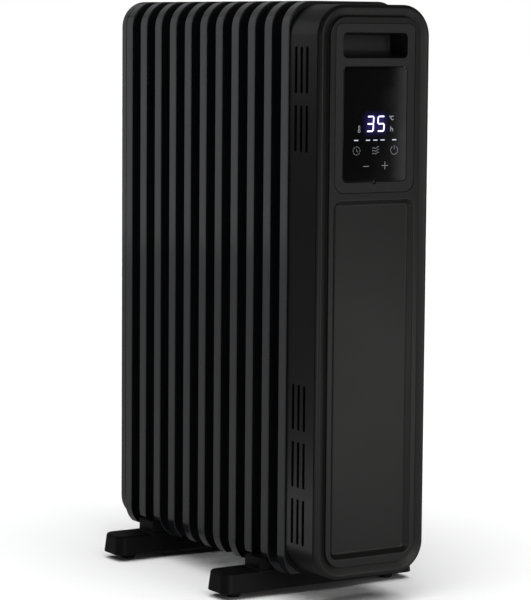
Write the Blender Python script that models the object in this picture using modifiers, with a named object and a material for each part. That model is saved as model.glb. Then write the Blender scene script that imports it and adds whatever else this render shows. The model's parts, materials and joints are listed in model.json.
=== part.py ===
"""Oil-filled column radiator: eleven steel fins on two oil headers, a control housing at the
front with a touch display and a pocket handle, and two cross feet on rubber pads.

Frame: metres, +Z up, X across, the control housing faces -Y, origin on the floor under the middle.
Depths are written as s, measured back from the front face of the housing.
"""
import math

import bmesh
import bpy
from mathutils import Matrix, Vector

# ---- clearances -------------------------------------------------------------------------------
GAP = 0.0003                # between pieces that touch
RUNNING = 0.0003            # round a pivot pin, on the radius

# ---- fins and oil headers ---------------------------------------------------------------------
FIN_COUNT = 11
FIN_PITCH = 0.033
FIN_HALF_WIDTH = 0.0702
FIN_TOP = 0.630
FIN_BASE = 0.0225           # lowest edge of an untrimmed fin sheet
FIN_TRIM = 0.030            # where an ordinary fin is trimmed flat
FIN_CORNER = 0.029
FIN_SHEET = 0.0010
FIN_FLANGE = 0.0135         # depth of the edge folded back round the sheet
CHANNEL_MARGIN = 0.0182     # fin side to the pressed oil chamber in its middle
CHANNEL_THICK = 0.012
CHANNEL_WALL = 0.0006
CHANNEL_TOP_DROP = 0.040
CHANNEL_BASE = 0.066
CHANNEL_CORNER = 0.015
HUB_RADIUS = 0.0165
HUB_BORE = 0.0150
HUB_TOP_DROP = 0.0785
HUB_LOW_Z = 0.092
REAR_SEAM = 0.0013
REAR_DEPTH = 0.0113
REAR_BASE = 0.031
PLUG_LENGTH = 0.004

# ---- control housing --------------------------------------------------------------------------
HOUSING_DEPTH = 0.0545
HOUSING_INSET = 0.0018      # housing side inside the fin side
HOUSING_DROP = 0.0035       # housing top below the fin top
HOUSING_BASE = 0.032
HOUSING_CORNER = 0.0325
HOUSING_WALL = 0.0024
HOUSING_TO_FIN = 0.0022
RIM_DEPTH = 0.0045          # front panel thickness, where it meets the shell
RIM_ROUND = 0.0038
GROOVE_INSET = 0.0068
GROOVE_WIDTH = 0.0062
GROOVE_DEPTH = 0.0028
PLATE_MARGIN = 0.0194       # housing side to control plate side, and top to top
PLATE_HEIGHT = 0.173
PLATE_THICK = 0.0014
PLATE_TOP_CORNER = 0.008
PLATE_LOW_CORNER = 0.0115
PLATE_SEAT = 0.0017
HANDLE_MARGIN = 0.0094      # plate side to recess side
HANDLE_HEIGHT = 0.0254
HANDLE_DROP = 0.0095        # plate top to recess top
HANDLE_DEPTH = 0.031
HANDLE_WALL = 0.002
HANDLE_CORNER = 0.0046
GLASS_MARGIN = 0.0096       # plate side to glass side
GLASS_HEIGHT = 0.118
GLASS_DROP = 0.0439         # plate top to glass top
GLASS_THICK = 0.002
GLASS_FRONT = 0.0002
GLASS_CORNER = 0.005
RECEIVER_RADIUS = 0.002
RECESS_MARGIN = 0.0209      # housing side to recess side
RECESS_TOP_GAP = 0.0079     # plate bottom to recess top
RECESS_BASE = 0.0215        # housing bottom to recess bottom
RECESS_DEPTH = 0.0055
RECESS_SLOPE = 0.0048
RECESS_CORNER = 0.0075
PANEL_WALL = 0.0022
POST_RADIUS = 0.0040
POST_INSET = 0.0119         # housing side to post centre
POST_END = 0.040            # housing top and bottom to post centre
SCREW_RADIUS = 0.0015
SCREW_HEAD = 0.0033
SCREW_LENGTH = 0.012

# louvres in the housing sides
LOUVRE_WIDTH = 0.0042
LOUVRE_LENGTH = 0.048
LOUVRE_PITCH_Z = 0.060
LOUVRE_PITCH_S = 0.01045
LOUVRE_SETBACK = 0.0307     # housing rear edge to the front column
LOUVRE_COLUMNS = 3
LOUVRE_LOW_ROWS = 3
LOUVRE_TOP_ROWS = 2
LOUVRE_LOW_Z = 0.0586       # housing bottom to the first row's centre
LOUVRE_TOP_Z = 0.0672       # housing top to the last row's centre

# ---- inside the housing -----------------------------------------------------------------------
END_PLATE_THICK = 0.001
END_PLATE_INSET = 0.0012
END_PLATE_DROP = 0.0045     # how far it hangs below the housing
END_PLATE_BORDER = 0.0125
BACK_PLATE_THICK = 0.001
BACK_PLATE_SETBACK = 0.0050  # housing rear edge to heat shield
BOARD_THICK = 0.0016
POWER_BOARD_MARGIN = 0.0234 # housing side to board side
POWER_BOARD_HEIGHT = 0.160
COMPONENT_DEPTH = 0.0155    # tallest component on the power board
COMPONENT_CLEAR = 0.0028    # components to the sunk field's back
DISPLAY_BOARD_FRONT = 0.008
FLANGE_THICK = 0.003
FLANGE_OVERHANG = 0.003     # element flange beyond the hub
GASKET_THICK = 0.001
ELEMENT_RADIUS = 0.003
ELEMENT_HALF_LEGS = 0.0055
ELEMENT_HALF_RISE = 0.0048
ELEMENT_PROUD = 0.0063       # element ends ahead of the flange
ELEMENT_REACH = 0.280
WIRE_RADIUS = 0.0012

TERMINAL_X = 0.031
TERMINAL_Z = 0.138
TERMINAL_WIDTH = 0.030
TERMINAL_HEIGHT = 0.016
TERMINAL_DEPTH = 0.012
TERMINAL_SETBACK = 0.0075   # heat shield to block
CUTOUT_RADIUS = 0.008
CUTOUT_DEPTH = 0.0065
CUTOUT_DROP = 0.150         # housing top to cut-out
SENSOR_EDGE = 0.003         # sensor side to where the shell's corner round starts
SENSOR_SETBACK = 0.0245     # housing rear edge to sensor
SENSOR_RADIUS = 0.003
SENSOR_HEIGHT = 0.022

# rocker mains switch in the right-hand side of the shell
SWITCH_SETBACK = 0.0245     # housing rear edge to switch centre
SWITCH_HALF_S = 0.0063
SWITCH_HALF_Z = 0.0100
SWITCH_BEZEL = 0.0016
SWITCH_BEZEL_LIP = 0.0016
SWITCH_BODY = 0.0160
SWITCH_WALL = 0.0011
ROCKER_HALF_Z = 0.0078
ROCKER_OUT = 0.0042
ROCKER_IN = 0.0025
ROCKER_SUNK = 0.0035        # bezel face to pivot
ROCKER_TILT = math.radians(9.0)
PIN_RADIUS = 0.0011

# tip-over switch
TILT_X = -0.030
TILT_Z = 0.150
TILT_WIDTH = 0.036
TILT_DEPTH = 0.0137
TILT_HEIGHT = 0.034
TILT_WALL = 0.0022
TILT_TOP_WALL = 0.004
TILT_PIVOT_DROP = 0.008     # case top to pivot
PENDULUM_LENGTH = 0.0145
PENDULUM_RADIUS = 0.0045

# mains cord gland in the bottom of the shell
GLAND_EDGE = 0.0039         # gland flange to where the shell's corner round starts
GLAND_SETBACK = 0.0195      # housing rear edge to gland centre
GLAND_BORE = 0.0040
GLAND_NECK = 0.0072
GLAND_FLANGE = 0.0100

# ---- feet -------------------------------------------------------------------------------------
FOOT_FINS = (1, 8)          # the fins whose sheets hang in front of the feet
FOOT_HALF_LENGTH = 0.122
FOOT_DEPTH = 0.0418
FOOT_TOP = 0.0289
FOOT_BASE = 0.0074
FOOT_CORNER = 0.0105
FOOT_DRAFT = 0.0018
FOOT_EDGE = 0.0022
NECK_OVERHANG = 0.0066      # beyond the fin side
NECK_DEPTH = 0.034
NECK_TOP = 0.042
NECK_CORNER = 0.0012
WELL_HALF_LENGTH = 0.036    # hollow under the bar for the wing nuts
WELL_WALL = 0.005
WELL_ROOF = 0.0045
PAD_X = 0.098
PAD_TOP_RADIUS = 0.0100
PAD_BASE_RADIUS = 0.0067
PAD_STEM_RADIUS = 0.003
PAD_STEM = 0.007
U_BOLT_RADIUS = 0.0025
U_BOLT_CLEAR = 0.0005
NUT_RADIUS = 0.0050
NUT_HEIGHT = 0.0060
NUT_WING = 0.0125
NUT_WING_THICK = 0.0022

# ---- derived places ---------------------------------------------------------------------------
BACK_PLATE_FRONT = HOUSING_DEPTH - BACK_PLATE_SETBACK
POWER_BOARD_FRONT = RECESS_DEPTH + PANEL_WALL + COMPONENT_CLEAR + COMPONENT_DEPTH
SWITCH_S = HOUSING_DEPTH - SWITCH_SETBACK
GLAND_S = HOUSING_DEPTH - GLAND_SETBACK
GLAND_X = FIN_HALF_WIDTH - HOUSING_INSET - HOUSING_CORNER - GLAND_FLANGE - GLAND_EDGE
LOUVRE_FIRST_S = HOUSING_DEPTH - LOUVRE_SETBACK
FIN_START = HOUSING_DEPTH + HOUSING_TO_FIN
REAR_START = FIN_START + (FIN_COUNT - 1) * FIN_PITCH + FIN_FLANGE + REAR_SEAM
LENGTH = REAR_START + REAR_DEPTH
HUB_TOP_Z = FIN_TOP - HUB_TOP_DROP
HUB_HALF = FIN_PITCH / 2 - GAP / 2
HUB_FRONT = FIN_START + FIN_SHEET / 2 - HUB_HALF
HUB_REAR = FIN_START + (FIN_COUNT - 1) * FIN_PITCH + FIN_SHEET / 2 + HUB_HALF
HOUSING_HALF = FIN_HALF_WIDTH - HOUSING_INSET
HOUSING_TOP = FIN_TOP - HOUSING_DROP
HOUSING_MID = (HOUSING_TOP + HOUSING_BASE) / 2
PLATE_HALF = HOUSING_HALF - PLATE_MARGIN
PLATE_TOP = HOUSING_TOP - PLATE_MARGIN
PLATE_BASE = PLATE_TOP - PLATE_HEIGHT
HANDLE_HALF_WIDTH = PLATE_HALF - HANDLE_MARGIN
HANDLE_TOP = PLATE_TOP - HANDLE_DROP
HANDLE_BASE = HANDLE_TOP - HANDLE_HEIGHT
GLASS_HALF_WIDTH = PLATE_HALF - GLASS_MARGIN
GLASS_TOP = PLATE_TOP - GLASS_DROP
GLASS_BASE = GLASS_TOP - GLASS_HEIGHT
FLANGE_RADIUS = HUB_RADIUS + FLANGE_OVERHANG
FLANGE_FRONT = HUB_FRONT - 2 * GAP - GASKET_THICK - FLANGE_THICK
ELEMENT_FRONT = FLANGE_FRONT - ELEMENT_PROUD
NECK_SEAT = NECK_TOP + 0.0005
NECK_HALF_LENGTH = FIN_HALF_WIDTH + NECK_OVERHANG
CHANNEL_HALF_WIDTH = FIN_HALF_WIDTH - CHANNEL_MARGIN
POWER_BOARD_HALF_WIDTH = HOUSING_HALF - POWER_BOARD_MARGIN

# ---- finishes: name, colour, roughness, metallic ------------------------------------------------
FINISHES = {
    "fin_paint": ((0.020, 0.021, 0.024), 0.38, 0.25),
    "plate_steel": ((0.045, 0.046, 0.050), 0.45, 0.60),
    "bright_steel": ((0.55, 0.55, 0.56), 0.35, 1.00),
    "shell_plastic": ((0.018, 0.018, 0.019), 0.55, 0.00),
    "panel_plastic": ((0.024, 0.022, 0.020), 0.48, 0.00),
    "plate_plastic": ((0.036, 0.036, 0.038), 0.55, 0.00),
    "cup_plastic": ((0.016, 0.016, 0.018), 0.60, 0.00),
    "display_glass": ((0.004, 0.004, 0.005), 0.06, 0.00),
    "circuit_board": ((0.012, 0.080, 0.030), 0.50, 0.00),
    "component_black": ((0.015, 0.015, 0.016), 0.45, 0.00),
    "component_yellow": ((0.550, 0.400, 0.060), 0.50, 0.00),
    "foot_plastic": ((0.022, 0.022, 0.023), 0.50, 0.00),
    "pad_rubber": ((0.030, 0.032, 0.032), 0.80, 0.00),
    "seal_rubber": ((0.016, 0.016, 0.016), 0.85, 0.00),
    "wire_brown": ((0.160, 0.060, 0.025), 0.50, 0.00),
    "wire_blue": ((0.030, 0.080, 0.300), 0.50, 0.00),
}

parts = None
cutters = None
finishes = {}


def start():
    """Empty the scene, then make the two collections and the finishes."""
    global parts, cutters
    for old in list(bpy.data.objects):
        bpy.data.objects.remove(old, do_unlink=True)
    parts = bpy.data.collections.new("oil_filled_radiator")
    cutters = bpy.data.collections.new("cutters")
    for group in (parts, cutters):
        bpy.context.scene.collection.children.link(group)
    for name, (colour, roughness, metallic) in FINISHES.items():
        finish = bpy.data.materials.new(name)
        finish.use_nodes = True
        shader = finish.node_tree.nodes["Principled BSDF"]
        shader.inputs["Base Color"].default_value = (*colour, 1.0)
        shader.inputs["Roughness"].default_value = roughness
        shader.inputs["Metallic"].default_value = metallic
        finishes[name] = finish


def place(x, s, z):
    """A point in the object's frame from its depth behind the front face."""
    return Vector((x, s - LENGTH / 2, z))


def add(name, data, finish, at=(0.0, 0.0, 0.0)):
    """Put mesh or curve data in the parts collection, or with no finish in the cutters."""
    obj = bpy.data.objects.new(name, data)
    obj.location = at
    if finish is None:
        cutters.objects.link(obj)
        obj.hide_render = True
        obj.display_type = 'WIRE'
    else:
        parts.objects.link(obj)
        data.materials.clear()
        data.materials.append(finishes[finish])
    return obj


def to_mesh(name, bm, smooth=35.0):
    mesh = bpy.data.meshes.new(name)
    bm.to_mesh(mesh)
    bm.free()
    mesh.shade_smooth()
    mesh.set_sharp_from_angle(angle=math.radians(smooth))
    return mesh


def slab(name, x, s, z, finish=None, corner=0.0, low_corner=None, steps=4, rim=0.0, rim_steps=2,
         taper=0.0):
    """A block between pairs of x, s and z. Its four edges along the depth get the corner radii,
    its front rim a round, and a taper draws the back face in."""
    size = Vector((x[1] - x[0], s[1] - s[0], z[1] - z[0]))
    low_corner = corner if low_corner is None else low_corner
    bm = bmesh.new()
    bmesh.ops.create_cube(bm, size=1.0, matrix=Matrix.Diagonal((*size, 1.0)))
    for radius, side in ((corner, 1), (low_corner, -1)):
        edges = [e for e in bm.edges
                 if abs(e.verts[0].co.y - e.verts[1].co.y) > size.y / 2
                 and all(v.co.z * side > size.z / 2 - 1e-7 for v in e.verts)]
        if radius > 0:
            bmesh.ops.bevel(bm, geom=edges, offset=radius, segments=steps, profile=0.5,
                            affect='EDGES')
    if taper:
        for vert in bm.verts:
            if vert.co.y > 0:
                vert.co.x -= math.copysign(taper, vert.co.x)
                vert.co.z -= math.copysign(taper, vert.co.z)
    if rim > 0:
        edges = [e for e in bm.edges if all(v.co.y < -size.y / 2 + 1e-7 for v in e.verts)]
        bmesh.ops.bevel(bm, geom=edges, offset=rim, segments=rim_steps, profile=0.5,
                        affect='EDGES')
    at = place((x[0] + x[1]) / 2, (s[0] + s[1]) / 2, (z[0] + z[1]) / 2)
    return add(name, to_mesh(name, bm), finish, at)


def rod(name, radius, length, at, finish=None, axis='Y', sides=16, far_radius=None):
    """A cylinder, or a cone with a far radius, centred on a point along one axis."""
    turn = {'X': Matrix.Rotation(math.pi / 2, 4, 'Y'), 'Y': Matrix.Rotation(-math.pi / 2, 4, 'X'),
            'Z': Matrix.Identity(4)}[axis]
    bm = bmesh.new()
    bmesh.ops.create_cone(bm, cap_ends=True, segments=sides, radius1=radius,
                          radius2=radius if far_radius is None else far_radius, depth=length,
                          matrix=turn)
    return add(name, to_mesh(name, bm), finish, at)


def turned(name, profile, at, finish, axis='Z', steps=12, closed=False):
    """A profile of (radius, height) points, outer side from top to bottom, spun about its axis."""
    mesh = bpy.data.meshes.new(name)
    count = len(profile)
    edges = [(i, (i + 1) % count) for i in range(count if closed else count - 1)]
    mesh.from_pydata([(r, 0.0, h) for r, h in profile], edges, [])
    obj = add(name, mesh, finish, at)
    if axis == 'Y':
        obj.rotation_euler.x = math.pi / 2
    spin = obj.modifiers.new("spin", 'SCREW')
    spin.steps = spin.render_steps = steps
    spin.use_merge_vertices = True
    spin.merge_threshold = 0.00001
    return obj


def tube(name, points, radius, finish, resolution=2):
    """A round wire along a list of points."""
    curve = bpy.data.curves.new(name, 'CURVE')
    curve.dimensions = '3D'
    curve.bevel_depth = radius
    curve.bevel_resolution = resolution
    curve.use_fill_caps = True
    line = curve.splines.new('POLY')
    line.points.add(len(points) - 1)
    for point, co in zip(line.points, points):
        point.co = (*co, 1.0)
    return add(name, curve, finish)


def smooth_path(knots, steps=4):
    """Points along a smooth curve through the knots."""
    ends = [knots[0] * 2 - knots[1], *knots, knots[-1] * 2 - knots[-2]]
    points = []
    for a, b, c, d in zip(ends, ends[1:], ends[2:], ends[3:]):
        for step in range(steps):
            t = step / steps
            points.append(0.5 * (2 * b + (c - a) * t + (2 * a - 5 * b + 4 * c - d) * t ** 2
                                 + (3 * b - a - 3 * c + d) * t ** 3))
    return points + [knots[-1]]


def boolean(target, other, operation):
    change = target.modifiers.new(other.name, 'BOOLEAN')
    change.operation = operation
    change.solver = 'EXACT'
    change.object = other
    return target


def cut(target, *others):
    for other in others:
        boolean(target, other, 'DIFFERENCE')
    return target


def join(target, *others):
    for other in others:
        boolean(target, other, 'UNION')
    return target


def settled(obj):
    """The object's mesh with its modifiers carried out."""
    bpy.context.view_layer.update()
    graph = bpy.context.evaluated_depsgraph_get()
    return bpy.data.meshes.new_from_object(obj.evaluated_get(graph))


# ---- fins -------------------------------------------------------------------------------------
def fin_tray(name, flange_base, sheet_base):
    """The pressed sheet with its edge folded back, as a closed shell FIN_SHEET thick. The outline
    is a tall rounded rectangle, trimmed flat at sheet_base; the flange stops at flange_base."""
    size = Vector((2 * FIN_HALF_WIDTH, FIN_FLANGE, FIN_TOP - FIN_BASE))
    middle = Vector((0.0, FIN_FLANGE / 2, (FIN_TOP + FIN_BASE) / 2))
    bm = bmesh.new()
    bmesh.ops.create_cube(bm, size=1.0,
                          matrix=Matrix.Translation(middle) @ Matrix.Diagonal((*size, 1.0)))
    back = [f for f in bm.faces if f.normal.y > 0.9]
    bmesh.ops.delete(bm, geom=back, context='FACES_ONLY')
    edges = [e for e in bm.edges if abs(e.verts[0].co.y - e.verts[1].co.y) > FIN_FLANGE / 2]
    bmesh.ops.bevel(bm, geom=edges, offset=FIN_CORNER, segments=4, profile=0.5, affect='EDGES')
    for height, drop in ((sheet_base, True), (flange_base, False)):
        bmesh.ops.bisect_plane(bm, geom=bm.verts[:] + bm.edges[:] + bm.faces[:],
                               plane_co=(0, 0, height), plane_no=(0, 0, 1), clear_inner=drop,
                               dist=1e-7)
    loose = [f for f in bm.faces
             if f.normal.y > -0.95 and f.calc_center_median().z < flange_base]
    bmesh.ops.delete(bm, geom=loose, context='FACES')
    obj = add(name, to_mesh(name, bm), None)
    wall = obj.modifiers.new("sheet", 'SOLIDIFY')
    wall.thickness = FIN_SHEET
    wall.offset = -1.0
    wall.use_even_offset = True
    return obj


def fin_mesh(name, flange_base, sheet_base):
    """One fin: tray, hollow oil chamber, and a bored hub at each header. Its front face is at
    y = 0 and its heights are the object's own."""
    fin = fin_tray(name, flange_base, sheet_base)
    middle = LENGTH / 2 + FIN_SHEET / 2
    chamber_top = FIN_TOP - CHANNEL_TOP_DROP
    shapes = {}
    for kind, inset in (("chamber", 0.0), ("oil", CHANNEL_WALL)):
        half = CHANNEL_THICK / 2 - inset
        width = CHANNEL_HALF_WIDTH - inset
        shapes[kind] = slab(name + "_" + kind, (-width, width), (middle - half, middle + half),
                            (CHANNEL_BASE + inset, chamber_top - inset),
                            corner=CHANNEL_CORNER - inset, steps=1)
    hubs, bores = [], []
    for level, height in (("top", HUB_TOP_Z), ("low", HUB_LOW_Z)):
        at = (0.0, FIN_SHEET / 2, height)
        hubs.append(rod(f"{name}_hub_{level}", HUB_RADIUS, 2 * HUB_HALF, at, sides=12))
        bores.append(rod(f"{name}_bore_{level}", HUB_BORE, 2.2 * HUB_HALF, at, sides=12))
    join(fin, shapes["chamber"], *hubs)
    cut(fin, shapes["oil"], *bores)
    mesh = settled(fin)
    mesh.name = name
    mesh.shade_smooth()
    mesh.set_sharp_from_angle(angle=math.radians(35.0))
    return mesh


def make_fins():
    """Ordinary fins, fins whose bare sheet hangs in front of a foot, and short ones above it."""
    plain = fin_mesh("fin_plain", FIN_TRIM, FIN_TRIM)
    hanging = fin_mesh("fin_hanging", NECK_SEAT, FIN_BASE)
    short = fin_mesh("fin_short", NECK_SEAT, NECK_SEAT)
    for index in range(FIN_COUNT):
        if index in FOOT_FINS:
            mesh = hanging
        elif index - 1 in FOOT_FINS:
            mesh = short
        else:
            mesh = plain
        at = place(0.0, FIN_START + index * FIN_PITCH, 0.0)
        add(f"fin_{index + 1:02d}", mesh, "fin_paint", at)


def make_rear_panel():
    """The last sheet, its edge folded forward to close the stack."""
    panel = slab("rear_panel", (-FIN_HALF_WIDTH, FIN_HALF_WIDTH), (REAR_START, LENGTH),
                 (REAR_BASE, FIN_TOP), "fin_paint", FIN_CORNER, steps=5)
    inner = FIN_HALF_WIDTH - FIN_SHEET
    cut(panel, slab("rear_panel_hollow", (-inner, inner), (REAR_START - 0.01, LENGTH - FIN_SHEET),
                    (REAR_BASE + FIN_SHEET, FIN_TOP - FIN_SHEET),
                    corner=FIN_CORNER - FIN_SHEET, steps=5))


def make_header_plugs():
    """Discs that close the rear ends of both headers, and the filler plug at the top front."""
    radius = HUB_BORE - GAP
    for level, height in (("upper", HUB_TOP_Z), ("lower", HUB_LOW_Z)):
        at = place(0.0, HUB_REAR - PLUG_LENGTH / 2, height)
        rod(f"header_plug_{level}", radius, PLUG_LENGTH, at, "plate_steel", sides=12)
    head = HUB_RADIUS - 0.001
    profile = [(0, 0.003), (head, 0.003), (head, 0), (radius, 0), (radius, -0.006), (0, -0.006)]
    turned("filler_plug", profile, place(0.0, HUB_FRONT - GAP, HUB_TOP_Z), "bright_steel", 'Y', 12)


# ---- heating element --------------------------------------------------------------------------
def make_element():
    """Two hairpin elements through a flange that closes the lower header, with its gasket."""
    legs = [(side * ELEMENT_HALF_LEGS, rise * ELEMENT_HALF_RISE)
            for side in (-1, 1) for rise in (-1, 1)]
    gasket_rear = HUB_FRONT - GAP
    gasket = rod("element_gasket", FLANGE_RADIUS - 0.0005, GASKET_THICK,
                 place(0, gasket_rear - GASKET_THICK / 2, HUB_LOW_Z), "seal_rubber", sides=12)
    cut(gasket, rod("gasket_hole", HUB_BORE, 0.01, place(0, gasket_rear, HUB_LOW_Z)))
    flange = rod("element_flange", FLANGE_RADIUS, FLANGE_THICK,
                 place(0, FLANGE_FRONT + FLANGE_THICK / 2, HUB_LOW_Z), "bright_steel", sides=12)
    for number, (x, rise) in enumerate(legs, 1):
        cut(flange, rod(f"leg_hole_{number}", ELEMENT_RADIUS + GAP, 0.02,
                        place(x, FLANGE_FRONT, HUB_LOW_Z + rise), sides=8))
    for name, rise in (("heating_element_upper", ELEMENT_HALF_RISE),
                       ("heating_element_lower", -ELEMENT_HALF_RISE)):
        height = HUB_LOW_Z + rise
        bend = [place(-ELEMENT_HALF_LEGS * math.cos(a),
                      ELEMENT_REACH + ELEMENT_HALF_LEGS * math.sin(a), height)
                for a in (math.pi * step / 8 for step in range(9))]
        points = [place(-ELEMENT_HALF_LEGS, ELEMENT_FRONT, height), *bend,
                  place(ELEMENT_HALF_LEGS, ELEMENT_FRONT, height)]
        tube(name, points, ELEMENT_RADIUS - 0.0001, "bright_steel", 2)


# ---- housing ----------------------------------------------------------------------------------
def make_shell():
    """The sleeve round the controls, with slots in both sides, the switch hole and gland hole."""
    front = RIM_DEPTH + GAP
    half = HOUSING_HALF
    shell = slab("housing_shell", (-half, half), (front, HOUSING_DEPTH),
                 (HOUSING_BASE, HOUSING_TOP), "shell_plastic", HOUSING_CORNER, steps=5)
    half -= HOUSING_WALL
    cut(shell, slab("shell_hollow", (-half, half), (front - 0.01, HOUSING_DEPTH + 0.01),
                    (HOUSING_BASE + HOUSING_WALL, HOUSING_TOP - HOUSING_WALL),
                    corner=HOUSING_CORNER - HOUSING_WALL, steps=5))
    centres = [HOUSING_BASE + LOUVRE_LOW_Z + row * LOUVRE_PITCH_Z for row in range(LOUVRE_LOW_ROWS)]
    centres += [HOUSING_TOP - LOUVRE_TOP_Z - row * LOUVRE_PITCH_Z for row in range(LOUVRE_TOP_ROWS)]
    for column in range(LOUVRE_COLUMNS):
        s = LOUVRE_FIRST_S + column * LOUVRE_PITCH_S
        for row, z in enumerate(centres):
            cut(shell, slot(f"louvre_{column + 1}_{row + 1}", s, z))
    hole = slab("switch_hole", (HOUSING_HALF - 0.01, HOUSING_HALF + 0.01),
                (SWITCH_S - SWITCH_HALF_S - GAP, SWITCH_S + SWITCH_HALF_S + GAP),
                (HOUSING_MID - SWITCH_HALF_Z - GAP, HOUSING_MID + SWITCH_HALF_Z + GAP))
    bore = rod("gland_hole", GLAND_NECK + GAP, 0.02, place(GLAND_X, GLAND_S, HOUSING_BASE),
               axis='Z')
    cut(shell, hole, bore)


def slot(name, s, z):
    """A louvre cutter: a bar with round ends, right across the housing."""
    bm = bmesh.new()
    size = (2.2 * HOUSING_HALF, LOUVRE_WIDTH, LOUVRE_LENGTH)
    bmesh.ops.create_cube(bm, size=1.0, matrix=Matrix.Diagonal((*size, 1.0)))
    edges = [e for e in bm.edges if abs(e.verts[0].co.x - e.verts[1].co.x) > HOUSING_HALF]
    bmesh.ops.bevel(bm, geom=edges, offset=LOUVRE_WIDTH * 0.3, segments=1, profile=0.5,
                    affect='EDGES')
    return add(name, to_mesh(name, bm), None, place(0.0, s, z))


def make_front_panel():
    """The front moulding: round rim, groove, seat and window for the control plate, the sunk
    lower field, and posts at the back for the housing screws and the power board."""
    half = HOUSING_HALF
    panel = slab("front_panel", (-half, half), (0.0, RIM_DEPTH), (HOUSING_BASE, HOUSING_TOP),
                 "panel_plastic", HOUSING_CORNER, steps=6, rim=RIM_ROUND, rim_steps=3)
    recess_half = half - RECESS_MARGIN
    recess_base = HOUSING_BASE + RECESS_BASE
    recess_top = PLATE_BASE - RECESS_TOP_GAP
    back = RECESS_DEPTH + PANEL_WALL
    grow = 0.001
    pan = slab("recess_pan", (-recess_half - grow, recess_half + grow), (0.003, back),
               (recess_base - grow, recess_top + grow), corner=RECESS_CORNER, steps=2)
    join(panel, pan)
    post_x = half - POST_INSET
    post_rear = BACK_PLATE_FRONT - GAP
    post_levels = (HOUSING_BASE + POST_END, HOUSING_TOP - POST_END)
    pilots = []
    for side, z in ((-1, post_levels[0]), (1, post_levels[0]), (-1, post_levels[1]),
                    (1, post_levels[1])):
        label = f"{'left' if side < 0 else 'right'}_{'low' if z == post_levels[0] else 'top'}"
        front = 0.0035
        join(panel, rod("post_" + label, POST_RADIUS, post_rear - front,
                        place(side * post_x, (front + post_rear) / 2, z), sides=8))
        pilots.append(rod("pilot_" + label, SCREW_RADIUS + GAP, 0.03,
                          place(side * post_x, post_rear, z), sides=8))
    stud_rear = POWER_BOARD_FRONT - GAP
    for side in (-1, 1):
        for level in (-1, 1):
            front = RECESS_DEPTH + 0.0005
            at = place(side * (POWER_BOARD_HALF_WIDTH - 0.006), (front + stud_rear) / 2,
                       HOUSING_MID + level * (POWER_BOARD_HEIGHT / 2 - 0.006))
            join(panel, rod(f"stud_{side}_{level}", 0.003, stud_rear - front, at, sides=8))
    groove = slab("groove", (-half + GROOVE_INSET, half - GROOVE_INSET), (-0.01, GROOVE_DEPTH),
                  (HOUSING_BASE + GROOVE_INSET, HOUSING_TOP - GROOVE_INSET),
                  corner=HOUSING_CORNER - GROOVE_INSET, steps=6)
    island_inset = GROOVE_INSET + GROOVE_WIDTH
    island = slab("groove_island", (-half + island_inset, half - island_inset), (-0.02, 0.02),
                  (HOUSING_BASE + island_inset, HOUSING_TOP - island_inset),
                  corner=HOUSING_CORNER - island_inset, steps=6)
    cut(groove, island)
    field = slab("recess_field", (-recess_half, recess_half), (-0.0001, RECESS_DEPTH),
                 (recess_base, recess_top), corner=RECESS_CORNER, steps=3, taper=RECESS_SLOPE)
    seat_half = PLATE_HALF + GAP
    seat = slab("plate_seat", (-seat_half, seat_half), (-0.01, PLATE_SEAT),
                (PLATE_BASE - GAP, PLATE_TOP + GAP), corner=PLATE_TOP_CORNER + GAP,
                low_corner=PLATE_LOW_CORNER + GAP, steps=4)
    window_half = max(HANDLE_HALF_WIDTH + HANDLE_WALL, GLASS_HALF_WIDTH) + GAP
    window = slab("plate_window", (-window_half, window_half), (-0.02, 0.02),
                  (GLASS_BASE - 0.0045, HANDLE_TOP + HANDLE_WALL + GAP),
                  corner=HANDLE_CORNER, steps=2)
    cut(panel, groove, field, seat, window, *pilots)


def make_control_plate():
    """The grey inlay with openings for the handle pocket, the glass and the receiver lens."""
    plate = slab("control_plate", (-PLATE_HALF, PLATE_HALF), (0.0, PLATE_THICK),
                 (PLATE_BASE, PLATE_TOP), "plate_plastic", PLATE_TOP_CORNER, PLATE_LOW_CORNER, 4)
    mouth = slab("handle_mouth", (-HANDLE_HALF_WIDTH, HANDLE_HALF_WIDTH), (-0.01, 0.01),
                 (HANDLE_BASE, HANDLE_TOP), corner=HANDLE_CORNER, steps=3)
    half = GLASS_HALF_WIDTH + GAP
    sight = slab("glass_opening", (-half, half), (-0.01, 0.01),
                 (GLASS_BASE - GAP, GLASS_TOP + GAP), corner=GLASS_CORNER + GAP, steps=3)
    cut(plate, mouth, sight, receiver_hole("plate"))


def receiver_hole(owner):
    return rod(owner + "_receiver_hole", RECEIVER_RADIUS + GAP, 0.03, place(0, 0, GLASS_BASE),
               sides=12)


def make_handle_cup():
    """The pocket behind the plate that the fingers reach into."""
    outer = HANDLE_HALF_WIDTH + HANDLE_WALL
    front = PLATE_THICK + GAP
    cup = slab("handle_cup", (-outer, outer), (front, HANDLE_DEPTH + HANDLE_WALL),
               (HANDLE_BASE - HANDLE_WALL, HANDLE_TOP + HANDLE_WALL), "cup_plastic",
               HANDLE_CORNER + HANDLE_WALL, steps=3)
    cut(cup, slab("cup_hollow", (-HANDLE_HALF_WIDTH, HANDLE_HALF_WIDTH), (-0.01, HANDLE_DEPTH),
                  (HANDLE_BASE, HANDLE_TOP), corner=HANDLE_CORNER, steps=3))


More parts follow.
